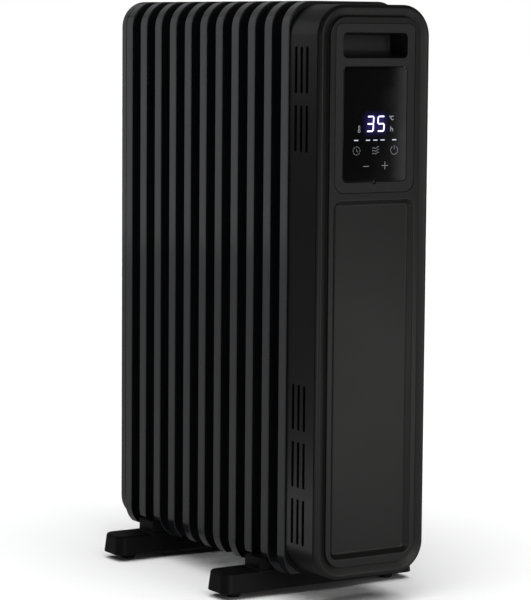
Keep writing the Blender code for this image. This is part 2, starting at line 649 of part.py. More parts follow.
def make_display():
    """Glass, receiver lens, digit module, and the board behind them."""
    glass = slab("display_glass", (-GLASS_HALF_WIDTH, GLASS_HALF_WIDTH),
                 (GLASS_FRONT, GLASS_FRONT + GLASS_THICK), (GLASS_BASE, GLASS_TOP),
                 "display_glass", GLASS_CORNER, steps=3)
    cut(glass, receiver_hole("glass"))
    rod("receiver_lens", RECEIVER_RADIUS, 0.0045, place(0, 0.00235, GLASS_BASE),
        "component_black", sides=12)
    module_front = GLASS_FRONT + GLASS_THICK + GAP
    slab("digit_module", (-0.022, 0.022), (module_front, DISPLAY_BOARD_FRONT - GAP),
         (GLASS_TOP - 0.078, GLASS_TOP - 0.044), "component_black")
    slab("display_board", (-GLASS_HALF_WIDTH + 0.001, GLASS_HALF_WIDTH - 0.001),
         (DISPLAY_BOARD_FRONT, DISPLAY_BOARD_FRONT + BOARD_THICK),
         (GLASS_BASE + 0.002, GLASS_TOP - 0.003), "circuit_board")


def make_power_board():
    """The board on its four studs, with two relays and a transformer on its front."""
    half = POWER_BOARD_HALF_WIDTH
    slab("power_board", (-half, half), (POWER_BOARD_FRONT, POWER_BOARD_FRONT + BOARD_THICK),
         (HOUSING_MID - POWER_BOARD_HEIGHT / 2, HOUSING_MID + POWER_BOARD_HEIGHT / 2),
         "circuit_board")
    rear = POWER_BOARD_FRONT - GAP
    for name, x, z, width, height, finish in (
            ("relay_1", -0.018, -0.035, 0.019, 0.0155, "component_black"),
            ("relay_2", 0.010, -0.035, 0.019, 0.0155, "component_black"),
            ("transformer", 0.0, 0.030, 0.032, 0.026, "component_yellow")):
        z += HOUSING_MID
        slab(name, (x - width / 2, x + width / 2), (rear - COMPONENT_DEPTH + GAP, rear),
             (z - height / 2, z + height / 2), finish)


def make_plates():
    """The steel frame between housing and first fin, and the heat shield inside the shell."""
    half = HOUSING_HALF - END_PLATE_INSET
    middle = HOUSING_DEPTH + HOUSING_TO_FIN / 2
    frame = slab("end_plate", (-half, half),
                 (middle - END_PLATE_THICK / 2, middle + END_PLATE_THICK / 2),
                 (HOUSING_BASE - END_PLATE_DROP, HOUSING_TOP - END_PLATE_INSET), "plate_steel",
                 HOUSING_CORNER, steps=6)
    inner = half - END_PLATE_BORDER
    cut(frame, slab("end_plate_window", (-inner, inner), (middle - 0.01, middle + 0.01),
                    (HOUSING_BASE + 0.028, HOUSING_TOP - 0.026),
                    corner=HOUSING_CORNER - END_PLATE_BORDER, steps=4))
    half = HOUSING_HALF - HOUSING_WALL - GAP
    rear = BACK_PLATE_FRONT + BACK_PLATE_THICK
    shield = slab("heat_shield", (-half, half), (BACK_PLATE_FRONT, rear),
                  (HOUSING_BASE + HOUSING_WALL + GAP, HOUSING_TOP - HOUSING_WALL - GAP),
                  "bright_steel", HOUSING_CORNER - HOUSING_WALL - GAP, steps=5)
    for level, height in (("top", HUB_TOP_Z), ("low", HUB_LOW_Z)):
        cut(shield, rod("shield_hole_" + level, HUB_RADIUS + 0.001, 0.02,
                        place(0, BACK_PLATE_FRONT, height), sides=12))
    for side, label in ((-1, "left"), (1, "right")):
        for z, level in ((HOUSING_BASE + POST_END, "low"), (HOUSING_TOP - POST_END, "top")):
            x = side * (HOUSING_HALF - POST_INSET)
            cut(shield, rod(f"screw_hole_{label}_{level}", SCREW_RADIUS + 2 * GAP, 0.02,
                            place(x, BACK_PLATE_FRONT, z), sides=10))
            housing_screw(f"housing_screw_{label}_{level}", place(x, rear + GAP, z))


def housing_screw(name, at):
    """A pan-head screw whose head seats at the given point and whose shank runs forward."""
    profile = [(0, -0.0018), (SCREW_HEAD * 0.7, -0.0018), (SCREW_HEAD, -0.001), (SCREW_HEAD, 0),
               (SCREW_RADIUS, 0), (SCREW_RADIUS, SCREW_LENGTH), (0, SCREW_LENGTH)]
    turned(name, [(r, h) for r, h in reversed(profile)], at, "bright_steel", 'Y', 10)


def make_small_parts():
    """Terminal block and its wires, thermal cut-out, room sensor, and the cord gland."""
    rear = BACK_PLATE_FRONT - TERMINAL_SETBACK
    top = TERMINAL_Z + TERMINAL_HEIGHT / 2
    slab("terminal_block", (TERMINAL_X - TERMINAL_WIDTH / 2, TERMINAL_X + TERMINAL_WIDTH / 2),
         (rear - TERMINAL_DEPTH, rear), (top - TERMINAL_HEIGHT, top), "component_black")
    wire_s = rear - TERMINAL_DEPTH / 2
    board_rear = POWER_BOARD_FRONT + BOARD_THICK
    behind_s = (board_rear + BACK_PLATE_FRONT) / 2
    bezel_face = HOUSING_HALF + GAP + SWITCH_BEZEL
    live_x = TERMINAL_X + TERMINAL_WIDTH / 4
    live = [place(live_x, wire_s, top + 2 * GAP), place(live_x, behind_s, top + 0.05),
            place(bezel_face - SWITCH_BODY - 0.009, behind_s, HOUSING_MID - 0.03),
            place(bezel_face - SWITCH_BODY - 0.003, SWITCH_S, HOUSING_MID)]
    tube("wire_live", smooth_path(live), WIRE_RADIUS, "wire_brown")
    neutral_x = TERMINAL_X - TERMINAL_WIDTH / 4
    pad = HOUSING_MID - POWER_BOARD_HEIGHT / 2 + 0.025
    neutral = [place(neutral_x, wire_s, top + 2 * GAP), place(neutral_x, behind_s, top + 0.05),
               place(neutral_x - 0.01, board_rear + 0.008, pad - 0.020),
               place(neutral_x - 0.012, board_rear + 0.005, pad - 0.001),
               place(neutral_x - 0.012, board_rear + 2 * GAP, pad)]
    tube("wire_neutral", smooth_path(neutral), WIRE_RADIUS, "wire_blue")
    rod("thermal_cutout", CUTOUT_RADIUS, CUTOUT_DEPTH,
        place(0.0, BACK_PLATE_FRONT - GAP - CUTOUT_DEPTH / 2, HOUSING_TOP - CUTOUT_DROP),
        "component_black")
    floor = HOUSING_BASE + HOUSING_WALL + GAP
    radius, height = SENSOR_RADIUS, SENSOR_HEIGHT
    x = HOUSING_CORNER + radius + SENSOR_EDGE - HOUSING_HALF
    profile = [(0, height), (0.6 * radius, height - 0.25 * radius), (radius, height - radius),
               (radius, 0), (0, 0)]
    turned("room_sensor", profile, place(x, HOUSING_DEPTH - SENSOR_SETBACK, floor),
           "component_black", steps=10)
    low = HOUSING_BASE - GAP
    bore = GLAND_BORE
    profile = [(GLAND_FLANGE - 0.001, floor + 0.003), (GLAND_FLANGE, floor),
               (GLAND_NECK, floor), (GLAND_NECK, low), (GLAND_FLANGE, low),
               (GLAND_FLANGE - 0.002, low - 0.004), (bore, low - 0.004), (bore, floor + 0.003)]
    turned("cord_gland", profile, place(GLAND_X, GLAND_S, 0.0), "seal_rubber", steps=12,
           closed=True)


def make_mains_switch():
    """A rocker switch set in the right-hand side of the shell, its rocker tilted to off."""
    face = HOUSING_HALF + GAP + SWITCH_BEZEL
    inner = face - SWITCH_BODY
    s0, s1 = SWITCH_S - SWITCH_HALF_S, SWITCH_S + SWITCH_HALF_S
    z0, z1 = HOUSING_MID - SWITCH_HALF_Z, HOUSING_MID + SWITCH_HALF_Z
    lip = SWITCH_BEZEL_LIP
    frame = slab("switch_frame", (face - SWITCH_BEZEL, face), (s0 - lip, s1 + lip),
                 (z0 - lip, z1 + lip), "component_black")
    body = slab("switch_body", (inner, face - SWITCH_BEZEL / 2), (s0, s1), (z0, z1))
    wall = SWITCH_WALL
    well = slab("switch_well", (face - 0.0125, face + 0.01), (s0 + wall, s1 - wall),
                (z0 + wall, z1 - wall))
    pivot = place(face - ROCKER_SUNK, SWITCH_S, HOUSING_MID)
    join(frame, body)
    cut(frame, well, rod("switch_pin_hole", PIN_RADIUS + RUNNING, 0.03, pivot, sides=12))

    half_s = SWITCH_HALF_S - SWITCH_WALL - 0.0004
    half = ROCKER_HALF_Z
    bm = bmesh.new()
    size = Vector((ROCKER_OUT + ROCKER_IN, 2 * half_s, 2 * half))
    shift = Matrix.Translation(((ROCKER_OUT - ROCKER_IN) / 2, 0, 0))
    bmesh.ops.create_cube(bm, size=1.0, matrix=shift @ Matrix.Diagonal((*size, 1.0)))
    bmesh.ops.bevel(bm, geom=bm.edges[:], offset=0.0006, segments=1, affect='EDGES')
    bmesh.ops.rotate(bm, verts=bm.verts[:], cent=(0, 0, 0),
                     matrix=Matrix.Rotation(ROCKER_TILT, 3, 'Y'))
    rocker = add("switch_rocker", to_mesh("switch_rocker", bm), "component_black", pivot)
    join(rocker, rod("rocker_pin", PIN_RADIUS, 2 * (SWITCH_HALF_S - 0.0003), pivot, sides=12))


def make_tilt_switch():
    """The tip-over switch: a case open below, and a weight that hangs in it on a pin."""
    rear = BACK_PLATE_FRONT - GAP
    front = rear - TILT_DEPTH
    base, top = TILT_Z - TILT_HEIGHT / 2, TILT_Z + TILT_HEIGHT / 2
    half = TILT_WIDTH / 2
    wall = TILT_WALL
    case = slab("tilt_switch_case", (TILT_X - half, TILT_X + half), (front, rear), (base, top),
                "component_black")
    hollow = slab("tilt_hollow", (TILT_X - half + wall, TILT_X + half - wall),
                  (front + wall, rear - wall), (base - 0.01, top - TILT_TOP_WALL))
    pivot = place(TILT_X, (front + rear) / 2, top - TILT_PIVOT_DROP)
    cut(case, hollow, rod("tilt_pin_hole", PIN_RADIUS + RUNNING, 0.03, pivot, sides=12))
    half_depth = TILT_DEPTH / 2 - wall
    pendulum = rod("tilt_pendulum", PIN_RADIUS, 2 * (TILT_DEPTH / 2 - 0.0005), pivot,
                   "bright_steel", sides=12)
    s_mid = (front + rear) / 2
    arm = slab("pendulum_arm", (TILT_X - 0.0015, TILT_X + 0.0015), (s_mid - 0.002, s_mid + 0.002),
               (pivot.z - PENDULUM_LENGTH, pivot.z + 0.0022))
    weight = rod("pendulum_weight", PENDULUM_RADIUS, 2 * (half_depth - 0.0006),
                 pivot - Vector((0, 0, PENDULUM_LENGTH)), sides=14)
    join(pendulum, arm, weight)


# ---- feet -------------------------------------------------------------------------------------
def make_foot(name, fin_index):
    """A cross foot with its raised neck, pads, and the U-bolt and wing nuts that hold it to the
    lower header."""
    front = FIN_START + fin_index * FIN_PITCH + FIN_SHEET + 2 * GAP
    rear = front + FOOT_DEPTH
    middle = (front + rear) / 2
    bar_mesh = foot_bar(name, FOOT_DEPTH)
    bar = add(name, bar_mesh, "foot_plastic", place(0.0, middle, FOOT_BASE))
    neck = slab(name + "_neck", (-NECK_HALF_LENGTH, NECK_HALF_LENGTH),
                (front + FOOT_DRAFT, front + NECK_DEPTH), (FOOT_TOP - 0.003, NECK_TOP),
                corner=NECK_CORNER, low_corner=0.0, steps=1)
    join(bar, neck)
    roof = FOOT_TOP - WELL_ROOF
    well_wall = FOOT_DRAFT + WELL_WALL
    cut(bar, slab(name + "_well", (-WELL_HALF_LENGTH, WELL_HALF_LENGTH),
                  (front + well_wall, rear - well_wall), (FOOT_BASE - 0.01, roof), steps=1))
    bolt_s = FIN_START + fin_index * FIN_PITCH + (FIN_FLANGE + FIN_PITCH) / 2
    bend = HUB_RADIUS + U_BOLT_CLEAR + U_BOLT_RADIUS
    arch = [place(-bend * math.cos(a), bolt_s, HUB_LOW_Z + bend * math.sin(a))
            for a in (math.pi * step / 10 for step in range(11))]
    foot = roof - GAP - NUT_HEIGHT - 0.002
    tube(name + "_u_bolt", [place(-bend, bolt_s, foot), *arch, place(bend, bolt_s, foot)],
         U_BOLT_RADIUS, "bright_steel", 2)
    for side, label in ((-1, "left"), (1, "right")):
        cut(bar, rod(f"{name}_bolt_hole_{label}", U_BOLT_RADIUS + GAP, 0.06,
                     place(side * bend, bolt_s, FOOT_TOP), axis='Z', sides=12))
        wing_nut(f"{name}_wing_nut_{label}", side * bend, bolt_s, roof - GAP)
        hole_top = FOOT_BASE + PAD_STEM + 2 * GAP
        cut(bar, rod(f"{name}_pad_hole_{label}", PAD_STEM_RADIUS + GAP, 0.02,
                     place(side * PAD_X, middle, hole_top - 0.01), axis='Z', sides=10))
        seat = FOOT_BASE - GAP
        profile = [(0, FOOT_BASE + PAD_STEM), (PAD_STEM_RADIUS, FOOT_BASE + PAD_STEM),
                   (PAD_STEM_RADIUS, seat), (PAD_TOP_RADIUS, seat),
                   (PAD_TOP_RADIUS, seat - 0.0015), (PAD_BASE_RADIUS, 0.0006),
                   (PAD_BASE_RADIUS - 0.0006, 0.0), (0, 0)]
        turned(f"{name}_pad_{label}", profile, place(side * PAD_X, middle, 0.0), "pad_rubber")


def foot_bar(name, depth):
    """The bar, standing on z = 0: round corners, sides drawn in towards the top, edge rounded."""
    height = FOOT_TOP - FOOT_BASE
    size = (2 * FOOT_HALF_LENGTH, depth, height)
    bm = bmesh.new()
    bmesh.ops.create_cube(bm, size=1.0, matrix=Matrix.Translation((0, 0, height / 2))
                          @ Matrix.Diagonal((*size, 1.0)))
    edges = [e for e in bm.edges if abs(e.verts[0].co.z - e.verts[1].co.z) > height / 2]
    bmesh.ops.bevel(bm, geom=edges, offset=FOOT_CORNER, segments=4, profile=0.5, affect='EDGES')
    for vert in bm.verts:
        if vert.co.z > height / 2:
            vert.co.x -= math.copysign(FOOT_DRAFT, vert.co.x)
            vert.co.y -= math.copysign(FOOT_DRAFT, vert.co.y)
    rim = [e for e in bm.edges if all(v.co.z > height - 1e-7 for v in e.verts)]
    bmesh.ops.bevel(bm, geom=rim, offset=FOOT_EDGE, segments=2, profile=0.5, affect='EDGES')
    return to_mesh(name, bm)


def wing_nut(name, x, s, top):
    """A round nut with two flat wings, its top face at the given height."""
    middle = top - NUT_HEIGHT / 2
    nut = rod(name, NUT_RADIUS, NUT_HEIGHT, place(x, s, middle), "bright_steel", 'Z', 12)
    half = NUT_WING_THICK / 2
    wings = slab(name + "_wings", (x - NUT_WING, x + NUT_WING), (s - half, s + half),
                 (top - NUT_HEIGHT - 0.0015, top - 0.0015), corner=0.0, low_corner=0.003, steps=1)
    join(nut, wings)
    cut(nut, rod(name + "_bore", U_BOLT_RADIUS + GAP, 0.03, place(x, s, middle), axis='Z',
                 sides=12))


def main():
    start()
    make_fins()
    make_rear_panel()
    make_header_plugs()
    make_element()
    make_shell()
    make_front_panel()
    make_control_plate()
    make_handle_cup()
    make_display()
    make_power_board()
    make_plates()
    make_small_parts()
    make_mains_switch()
    make_tilt_switch()
    for name, fin_index in zip(("foot_front", "foot_rear"), FOOT_FINS):
        make_foot(name, fin_index)
    bpy.context.view_layer.update()


main()
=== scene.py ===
import json
import math

import bmesh
import bpy
from mathutils import Matrix, Vector

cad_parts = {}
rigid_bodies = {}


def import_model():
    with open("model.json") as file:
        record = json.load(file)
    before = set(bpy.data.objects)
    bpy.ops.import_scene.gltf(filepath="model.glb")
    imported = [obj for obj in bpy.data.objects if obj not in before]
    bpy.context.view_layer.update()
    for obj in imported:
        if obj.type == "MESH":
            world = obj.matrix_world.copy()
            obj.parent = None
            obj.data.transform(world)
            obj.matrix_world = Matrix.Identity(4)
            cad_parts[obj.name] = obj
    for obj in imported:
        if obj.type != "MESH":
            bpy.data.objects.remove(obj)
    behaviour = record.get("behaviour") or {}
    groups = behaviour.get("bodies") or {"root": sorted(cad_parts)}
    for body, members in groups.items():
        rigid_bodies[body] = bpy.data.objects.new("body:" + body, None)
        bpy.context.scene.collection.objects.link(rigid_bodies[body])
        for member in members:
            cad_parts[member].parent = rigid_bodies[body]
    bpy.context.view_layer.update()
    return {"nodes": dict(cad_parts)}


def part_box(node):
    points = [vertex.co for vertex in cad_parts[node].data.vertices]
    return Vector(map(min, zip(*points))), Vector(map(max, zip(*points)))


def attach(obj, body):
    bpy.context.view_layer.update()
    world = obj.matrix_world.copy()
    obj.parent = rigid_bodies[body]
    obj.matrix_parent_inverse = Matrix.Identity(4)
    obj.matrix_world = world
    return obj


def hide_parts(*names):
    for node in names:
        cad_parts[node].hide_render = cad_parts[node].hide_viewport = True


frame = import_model()
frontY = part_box("front_panel")[0].y    # the housing's front face; depths are measured back from it
mm = 0.001


def back(depth):
    return frontY + depth


def box(node):
    # left, front, bottom, right, rear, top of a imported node
    low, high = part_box(node)
    return (*low, *high)


# materials: shared effects first, as node groups that give masks, heights and values

def newGroup(name, inputs, outputs):
    tree = bpy.data.node_groups.new(name, "ShaderNodeTree")
    for label, kind, value in inputs:
        socket = tree.interface.new_socket(label, in_out="INPUT", socket_type=kind)
        if value is not None:
            socket.default_value = value
    for label, kind in outputs:
        tree.interface.new_socket(label, in_out="OUTPUT", socket_type=kind)
    return tree, tree.nodes.new("NodeGroupInput"), tree.nodes.new("NodeGroupOutput")


def node(tree, kind, settings=None, **values):
    made = tree.nodes.new(kind)
    for key, value in (settings or {}).items():
        setattr(made, key, value)
    for key, value in values.items():
        made.inputs[key].default_value = value
    return made


def mathNode(tree, operation, first, second=None, third=None, clamp=False):
    made = tree.nodes.new("ShaderNodeMath")
    made.operation = operation
    made.use_clamp = clamp
    for index, value in enumerate((first, second, third)):
        if value is None:
            continue
        if isinstance(value, (int, float)):
            made.inputs[index].default_value = value
        else:
            tree.links.new(value, made.inputs[index])
    return made.outputs[0]


grainNoise = dict(fineDetail=2.0, fineRough=0.55, coarseDetail=3.0, coarseRough=0.6)


def makeGrain():
    # moulded or sprayed grain: a fine noise over a coarser one
    tree, given, result = newGroup(
        "surfaceGrain",
        [("Vector", "NodeSocketVector", None), ("Fine", "NodeSocketFloat", 2500.0),
         ("Coarse", "NodeSocketFloat", 300.0), ("Balance", "NodeSocketFloat", 0.5)],
        [("Height", "NodeSocketFloat")])
    fine = node(tree, "ShaderNodeTexNoise", Detail=grainNoise["fineDetail"],
                Roughness=grainNoise["fineRough"])
    coarse = node(tree, "ShaderNodeTexNoise", Detail=grainNoise["coarseDetail"],
                  Roughness=grainNoise["coarseRough"])
    for texture, scale in ((fine, "Fine"), (coarse, "Coarse")):
        tree.links.new(given.outputs["Vector"], texture.inputs["Vector"])
        tree.links.new(given.outputs[scale], texture.inputs["Scale"])
    mix = node(tree, "ShaderNodeMix")
    tree.links.new(given.outputs["Balance"], mix.inputs["Factor"])
    tree.links.new(coarse.outputs["Fac"], mix.inputs["A"])
    tree.links.new(fine.outputs["Fac"], mix.inputs["B"])
    tree.links.new(mix.outputs["Result"], result.inputs["Height"])
    return tree


smudgeNoise = dict(bendScale=14.0, bendDetail=2.0, bendReach=0.03, detail=4.0, rough=0.62)


def makeSmudges():
    # broad uneven patches where hands and cloths have been, from 0 to 1
    tree, given, result = newGroup(
        "handlingSmudges",
        [("Vector", "NodeSocketVector", None), ("Scale", "NodeSocketFloat", 9.0),
         ("Spread", "NodeSocketFloat", 0.25)],
        [("Mask", "NodeSocketFloat")])
    bend = node(tree, "ShaderNodeTexNoise", Scale=smudgeNoise["bendScale"],
                Detail=smudgeNoise["bendDetail"])
    tree.links.new(given.outputs["Vector"], bend.inputs["Vector"])
    shift = node(tree, "ShaderNodeVectorMath", {"operation": "SCALE"},
                 Scale=smudgeNoise["bendReach"])
    tree.links.new(bend.outputs["Color"], shift.inputs[0])
    moved = node(tree, "ShaderNodeVectorMath", {"operation": "ADD"})
    tree.links.new(given.outputs["Vector"], moved.inputs[0])
    tree.links.new(shift.outputs[0], moved.inputs[1])
    patches = node(tree, "ShaderNodeTexNoise", Detail=smudgeNoise["detail"],
                   Roughness=smudgeNoise["rough"])
    tree.links.new(moved.outputs[0], patches.inputs["Vector"])
    tree.links.new(given.outputs["Scale"], patches.inputs["Scale"])
    edge = node(tree, "ShaderNodeMapRange", {"interpolation_type": "SMOOTHSTEP"})
    tree.links.new(patches.outputs["Fac"], edge.inputs["Value"])
    low = mathNode(tree, "SUBTRACT", 0.5, given.outputs["Spread"])
    high = mathNode(tree, "ADD", 0.5, given.outputs["Spread"])
    tree.links.new(low, edge.inputs["From Min"])
    tree.links.new(high, edge.inputs["From Max"])
    tree.links.new(edge.outputs["Result"], result.inputs["Mask"])
    return tree


dustNoise = dict(upwards=0.75, everywhere=0.25, detail=5.0, rough=0.7, contrast=2.0)


def makeDust():
    # a thin film of dust, heavier where the surface faces up
    tree, given, result = newGroup(
        "settledDust",
        [("Vector", "NodeSocketVector", None), ("Amount", "NodeSocketFloat", 0.2),
         ("Scale", "NodeSocketFloat", 60.0)],
        [("Mask", "NodeSocketFloat")])
    shape = node(tree, "ShaderNodeNewGeometry")
    split = node(tree, "ShaderNodeSeparateXYZ")
    tree.links.new(shape.outputs["Normal"], split.inputs[0])
    facing = mathNode(tree, "MULTIPLY_ADD", split.outputs["Z"], dustNoise["upwards"],
                      dustNoise["everywhere"], clamp=True)
    specks = node(tree, "ShaderNodeTexNoise", Detail=dustNoise["detail"],
                  Roughness=dustNoise["rough"])
    tree.links.new(given.outputs["Vector"], specks.inputs["Vector"])
    tree.links.new(given.outputs["Scale"], specks.inputs["Scale"])
    broken = mathNode(tree, "POWER", specks.outputs["Fac"], dustNoise["contrast"])
    film = mathNode(tree, "MULTIPLY", facing, broken)
    tree.links.new(mathNode(tree, "MULTIPLY", film, given.outputs["Amount"], clamp=True),
                   result.inputs["Mask"])
    return tree


grainGroup = makeGrain()
smudgeGroup = makeSmudges()
dustGroup = makeDust()

finishes = {}
# what most finishes share: no metal, plain gloss, no clear coat
commonFinish = dict(metal=0.0, specular=0.5, coat=0.0, coatRough=0.3)
# colour, second colour for the smudged places, roughness and its change, then the grain (fine,
# coarse, balance, height in mm), smudge scale and dust
finishRows = {
    "enamelBlack": dict(colour=(0.0125, 0.0130, 0.0150), worn=(0.0165, 0.0170, 0.0190), rough=0.30,
                        change=0.06, coat=0.50, coatRough=0.10, fine=900.0, coarse=170.0,
                        balance=0.30, height=0.010, smudge=11.0, dust=0.05),
    "housingPlastic": dict(colour=(0.0072, 0.0072, 0.0078), worn=(0.0090, 0.0090, 0.0096),
                           rough=0.47, change=0.06, specular=0.30, fine=2600.0, coarse=1100.0,
                           balance=0.55, height=0.035, smudge=8.0, dust=0.05),
    "panelPlastic": dict(colour=(0.0105, 0.0101, 0.0097), worn=(0.0128, 0.0123, 0.0118), rough=0.45,
                         change=0.06, fine=2600.0, coarse=1100.0, balance=0.55, height=0.030,
                         smudge=8.0, dust=0.04),
    "platePlastic": dict(colour=(0.0345, 0.0350, 0.0365), worn=(0.0390, 0.0395, 0.0410), rough=0.48,
                         change=0.05, fine=3200.0, coarse=1500.0, balance=0.6, height=0.022,
                         smudge=14.0, dust=0.02),
    "cupPlastic": dict(colour=(0.0200, 0.0204, 0.0215), worn=(0.0235, 0.0240, 0.0252), rough=0.50,
                       change=0.08, fine=2400.0, coarse=1000.0, balance=0.5, height=0.030,
                       smudge=22.0, dust=0.06),
    "footPlastic": dict(colour=(0.0085, 0.0085, 0.0090), worn=(0.0115, 0.0115, 0.0120), rough=0.46,
                        change=0.09, specular=0.26, fine=2000.0, coarse=800.0, balance=0.5,
                        height=0.045, smudge=16.0, dust=0.12),
    "rubberBlack": dict(colour=(0.0200, 0.0205, 0.0210), worn=(0.0320, 0.0320, 0.0325), rough=0.82,
                        change=0.08, fine=1800.0, coarse=500.0, balance=0.5, height=0.060,
                        smudge=60.0, dust=0.20),
    "switchPlastic": dict(colour=(0.0120, 0.0120, 0.0125), worn=(0.0180, 0.0180, 0.0185),
                          rough=0.32, change=0.10, fine=3000.0, coarse=900.0, balance=0.5,
                          height=0.015, smudge=90.0, dust=0.05),
    "blackSteel": dict(colour=(0.0085, 0.0085, 0.0092), worn=(0.0130, 0.0130, 0.0138), rough=0.44,
                       change=0.10, specular=0.34, fine=1500.0, coarse=260.0, balance=0.4,
                       height=0.030, smudge=30.0, dust=0.06),
    "zincSteel": dict(colour=(0.5200, 0.5300, 0.5400), worn=(0.4000, 0.4000, 0.3950), rough=0.34,
                      change=0.16, metal=1.0, fine=1600.0, coarse=320.0, balance=0.4, height=0.020,
                      smudge=70.0, dust=0.03),
    "componentBlack": dict(colour=(0.0180, 0.0180, 0.0190), worn=(0.0240, 0.0240, 0.0250),
                           rough=0.40, change=0.08, fine=2400.0, coarse=900.0, balance=0.5,
                           height=0.020, smudge=80.0, dust=0.08),
    "windingTape": dict(colour=(0.5200, 0.3700, 0.0500), worn=(0.4300, 0.3000, 0.0450), rough=0.42,
                        change=0.10, coat=0.2, coatRough=0.2, fine=1300.0, coarse=300.0,
                        balance=0.4, height=0.030, smudge=60.0, dust=0.05),
    "brownWire": dict(colour=(0.1500, 0.0560, 0.0230), worn=(0.1800, 0.0700, 0.0300), rough=0.48,
                      change=0.08, fine=2500.0, coarse=600.0, balance=0.5, height=0.015,
                      smudge=90.0, dust=0.05),
    "blueWire": dict(colour=(0.0280, 0.0760, 0.2900), worn=(0.0350, 0.0900, 0.3200), rough=0.48,
                     change=0.08, fine=2500.0, coarse=600.0, balance=0.5, height=0.015, smudge=90.0,
                     dust=0.05),
}
dustColour = (0.17, 0.165, 0.155, 1.0)
# the same in all of them
surface = dict(spread=0.22, speckle=0.06, dustRough=0.5, bumpStrength=0.6)


def newFinish(name):
    # a material, its shader, and the coordinates its patterns are laid on
    made = bpy.data.materials.new(name)
    made.use_nodes = True
    finishes[name] = made
    tree = made.node_tree
    where = tree.nodes.new("ShaderNodeTexCoord").outputs["Object"]
    return tree, tree.nodes["Principled BSDF"], where


def grouped(tree, group, vector, **values):
    made = tree.nodes.new("ShaderNodeGroup")
    made.node_tree = group
    for key, value in values.items():
        made.inputs[key].default_value = value
    tree.links.new(vector, made.inputs["Vector"])
    return made.outputs[0]


def blendColour(tree, factor, first, second):
    mix = node(tree, "ShaderNodeMix", {"data_type": "RGBA"})
    tree.links.new(factor, mix.inputs["Factor"])
    for socket, value in ((mix.inputs[6], first), (mix.inputs[7], second)):
        if isinstance(value, tuple):
            socket.default_value = value
        else:
            tree.links.new(value, socket)
    return mix.outputs[2]


def makeFinish(name, row):
    tree, shader, where = newFinish(name)
    smudge = grouped(tree, smudgeGroup, where, Scale=row["smudge"], Spread=surface["spread"])
    dust = grouped(tree, dustGroup, where, Amount=row["dust"])
    grain = grouped(tree, grainGroup, where, Fine=row["fine"], Coarse=row["coarse"],
                    Balance=row["balance"])
    mottled = blendColour(tree, smudge, (*row["colour"], 1.0), (*row["worn"], 1.0))
    tree.links.new(blendColour(tree, dust, mottled, dustColour), shader.inputs["Base Color"])
    rough = mathNode(tree, "MULTIPLY_ADD", smudge, row["change"], row["rough"] - row["change"] / 2)
    speckled = mathNode(tree, "MULTIPLY_ADD", grain, surface["speckle"], -surface["speckle"] / 2)
    rough = mathNode(tree, "ADD", rough, speckled)
    tree.links.new(mathNode(tree, "MULTIPLY_ADD", dust, surface["dustRough"], rough, clamp=True),
                   shader.inputs["Roughness"])
    bump = node(tree, "ShaderNodeBump", Strength=surface["bumpStrength"],
                Distance=row["height"] * mm)
    tree.links.new(grain, bump.inputs["Height"])
    tree.links.new(bump.outputs["Normal"], shader.inputs["Normal"])
    for socket, key in (("Metallic", "metal"), ("Specular IOR Level", "specular"),
                        ("Coat Weight", "coat"), ("Coat Roughness", "coatRough")):
        shader.inputs[socket].default_value = row[key]


for name, row in finishRows.items():
    makeFinish(name, {**commonFinish, **row})

board = dict(mask=(0.010, 0.070, 0.028, 1.0), maskLight=(0.014, 0.095, 0.036, 1.0),
             track=(0.035, 0.160, 0.060, 1.0), scale=95.0, offset=0.37, squash=0.6, gap=0.035,
             smudge=60.0, spread=0.3, change=0.15, rough=0.32, bumpStrength=0.5, height=0.04)


def makeBoardFinish():
    # green solder mask with copper tracks showing through as a grid of lighter lines
    tree, shader, where = newFinish("circuitBoard")
    tracks = node(tree, "ShaderNodeTexBrick",
                  {"offset": board["offset"], "squash": board["squash"]},
                  **{"Scale": board["scale"], "Mortar Size": board["gap"]})
    turned = node(tree, "ShaderNodeMapping")
    turned.inputs["Rotation"].default_value = (math.pi / 2, 0.0, 0.0)
    tree.links.new(where, turned.inputs["Vector"])
    tree.links.new(turned.outputs[0], tracks.inputs["Vector"])
    smudge = grouped(tree, smudgeGroup, where, Scale=board["smudge"], Spread=board["spread"])
    base = blendColour(tree, smudge, board["mask"], board["maskLight"])
    line = mathNode(tree, "SUBTRACT", 1.0, tracks.outputs["Fac"])
    tree.links.new(blendColour(tree, line, board["track"], base), shader.inputs["Base Color"])
    tree.links.new(mathNode(tree, "MULTIPLY_ADD", smudge, board["change"], board["rough"]),
                   shader.inputs["Roughness"])
    bump = node(tree, "ShaderNodeBump", Strength=board["bumpStrength"],
                Distance=board["height"] * mm)
    tree.links.new(line, bump.inputs["Height"])
    tree.links.new(bump.outputs["Normal"], shader.inputs["Normal"])


makeBoardFinish()

# the display's glass; digit heights are measured from the glass's mid-height
screen = dict(colour=(0.0018, 0.0018, 0.0021, 1.0), wiped=(0.0024, 0.0024, 0.0028, 1.0),
              rough=0.035, wipedRough=0.02, fineRough=0.01, smudge=30.0, spread=0.2,
              fineScale=220.0, fineDetail=4.0, fineNoise=0.7, unlit=(0.0, 0.0, 0.0, 1.0),
              glow=(0.16, 0.12, 0.85, 1.0), glowReach=0.011, glowFrom=0.7, glowFall=2.2,
              glowStrength=0.10, digitsX=(-0.0112, 0.0126), digitsZ=(-0.0075, 0.0085))
# colour and strength of what it shows; touchMark also gives the switch's rocker marks a painted glow
litRows = {"litDigits": ((0.72, 0.68, 1.0), 2.6), "litDash": ((0.80, 0.82, 1.0), 0.95),
           "litUnit": ((0.62, 0.66, 0.85), 0.55), "dimSymbol": ((0.55, 0.57, 0.62), 0.42),
           "touchMark": ((0.60, 0.62, 0.68), 0.46)}


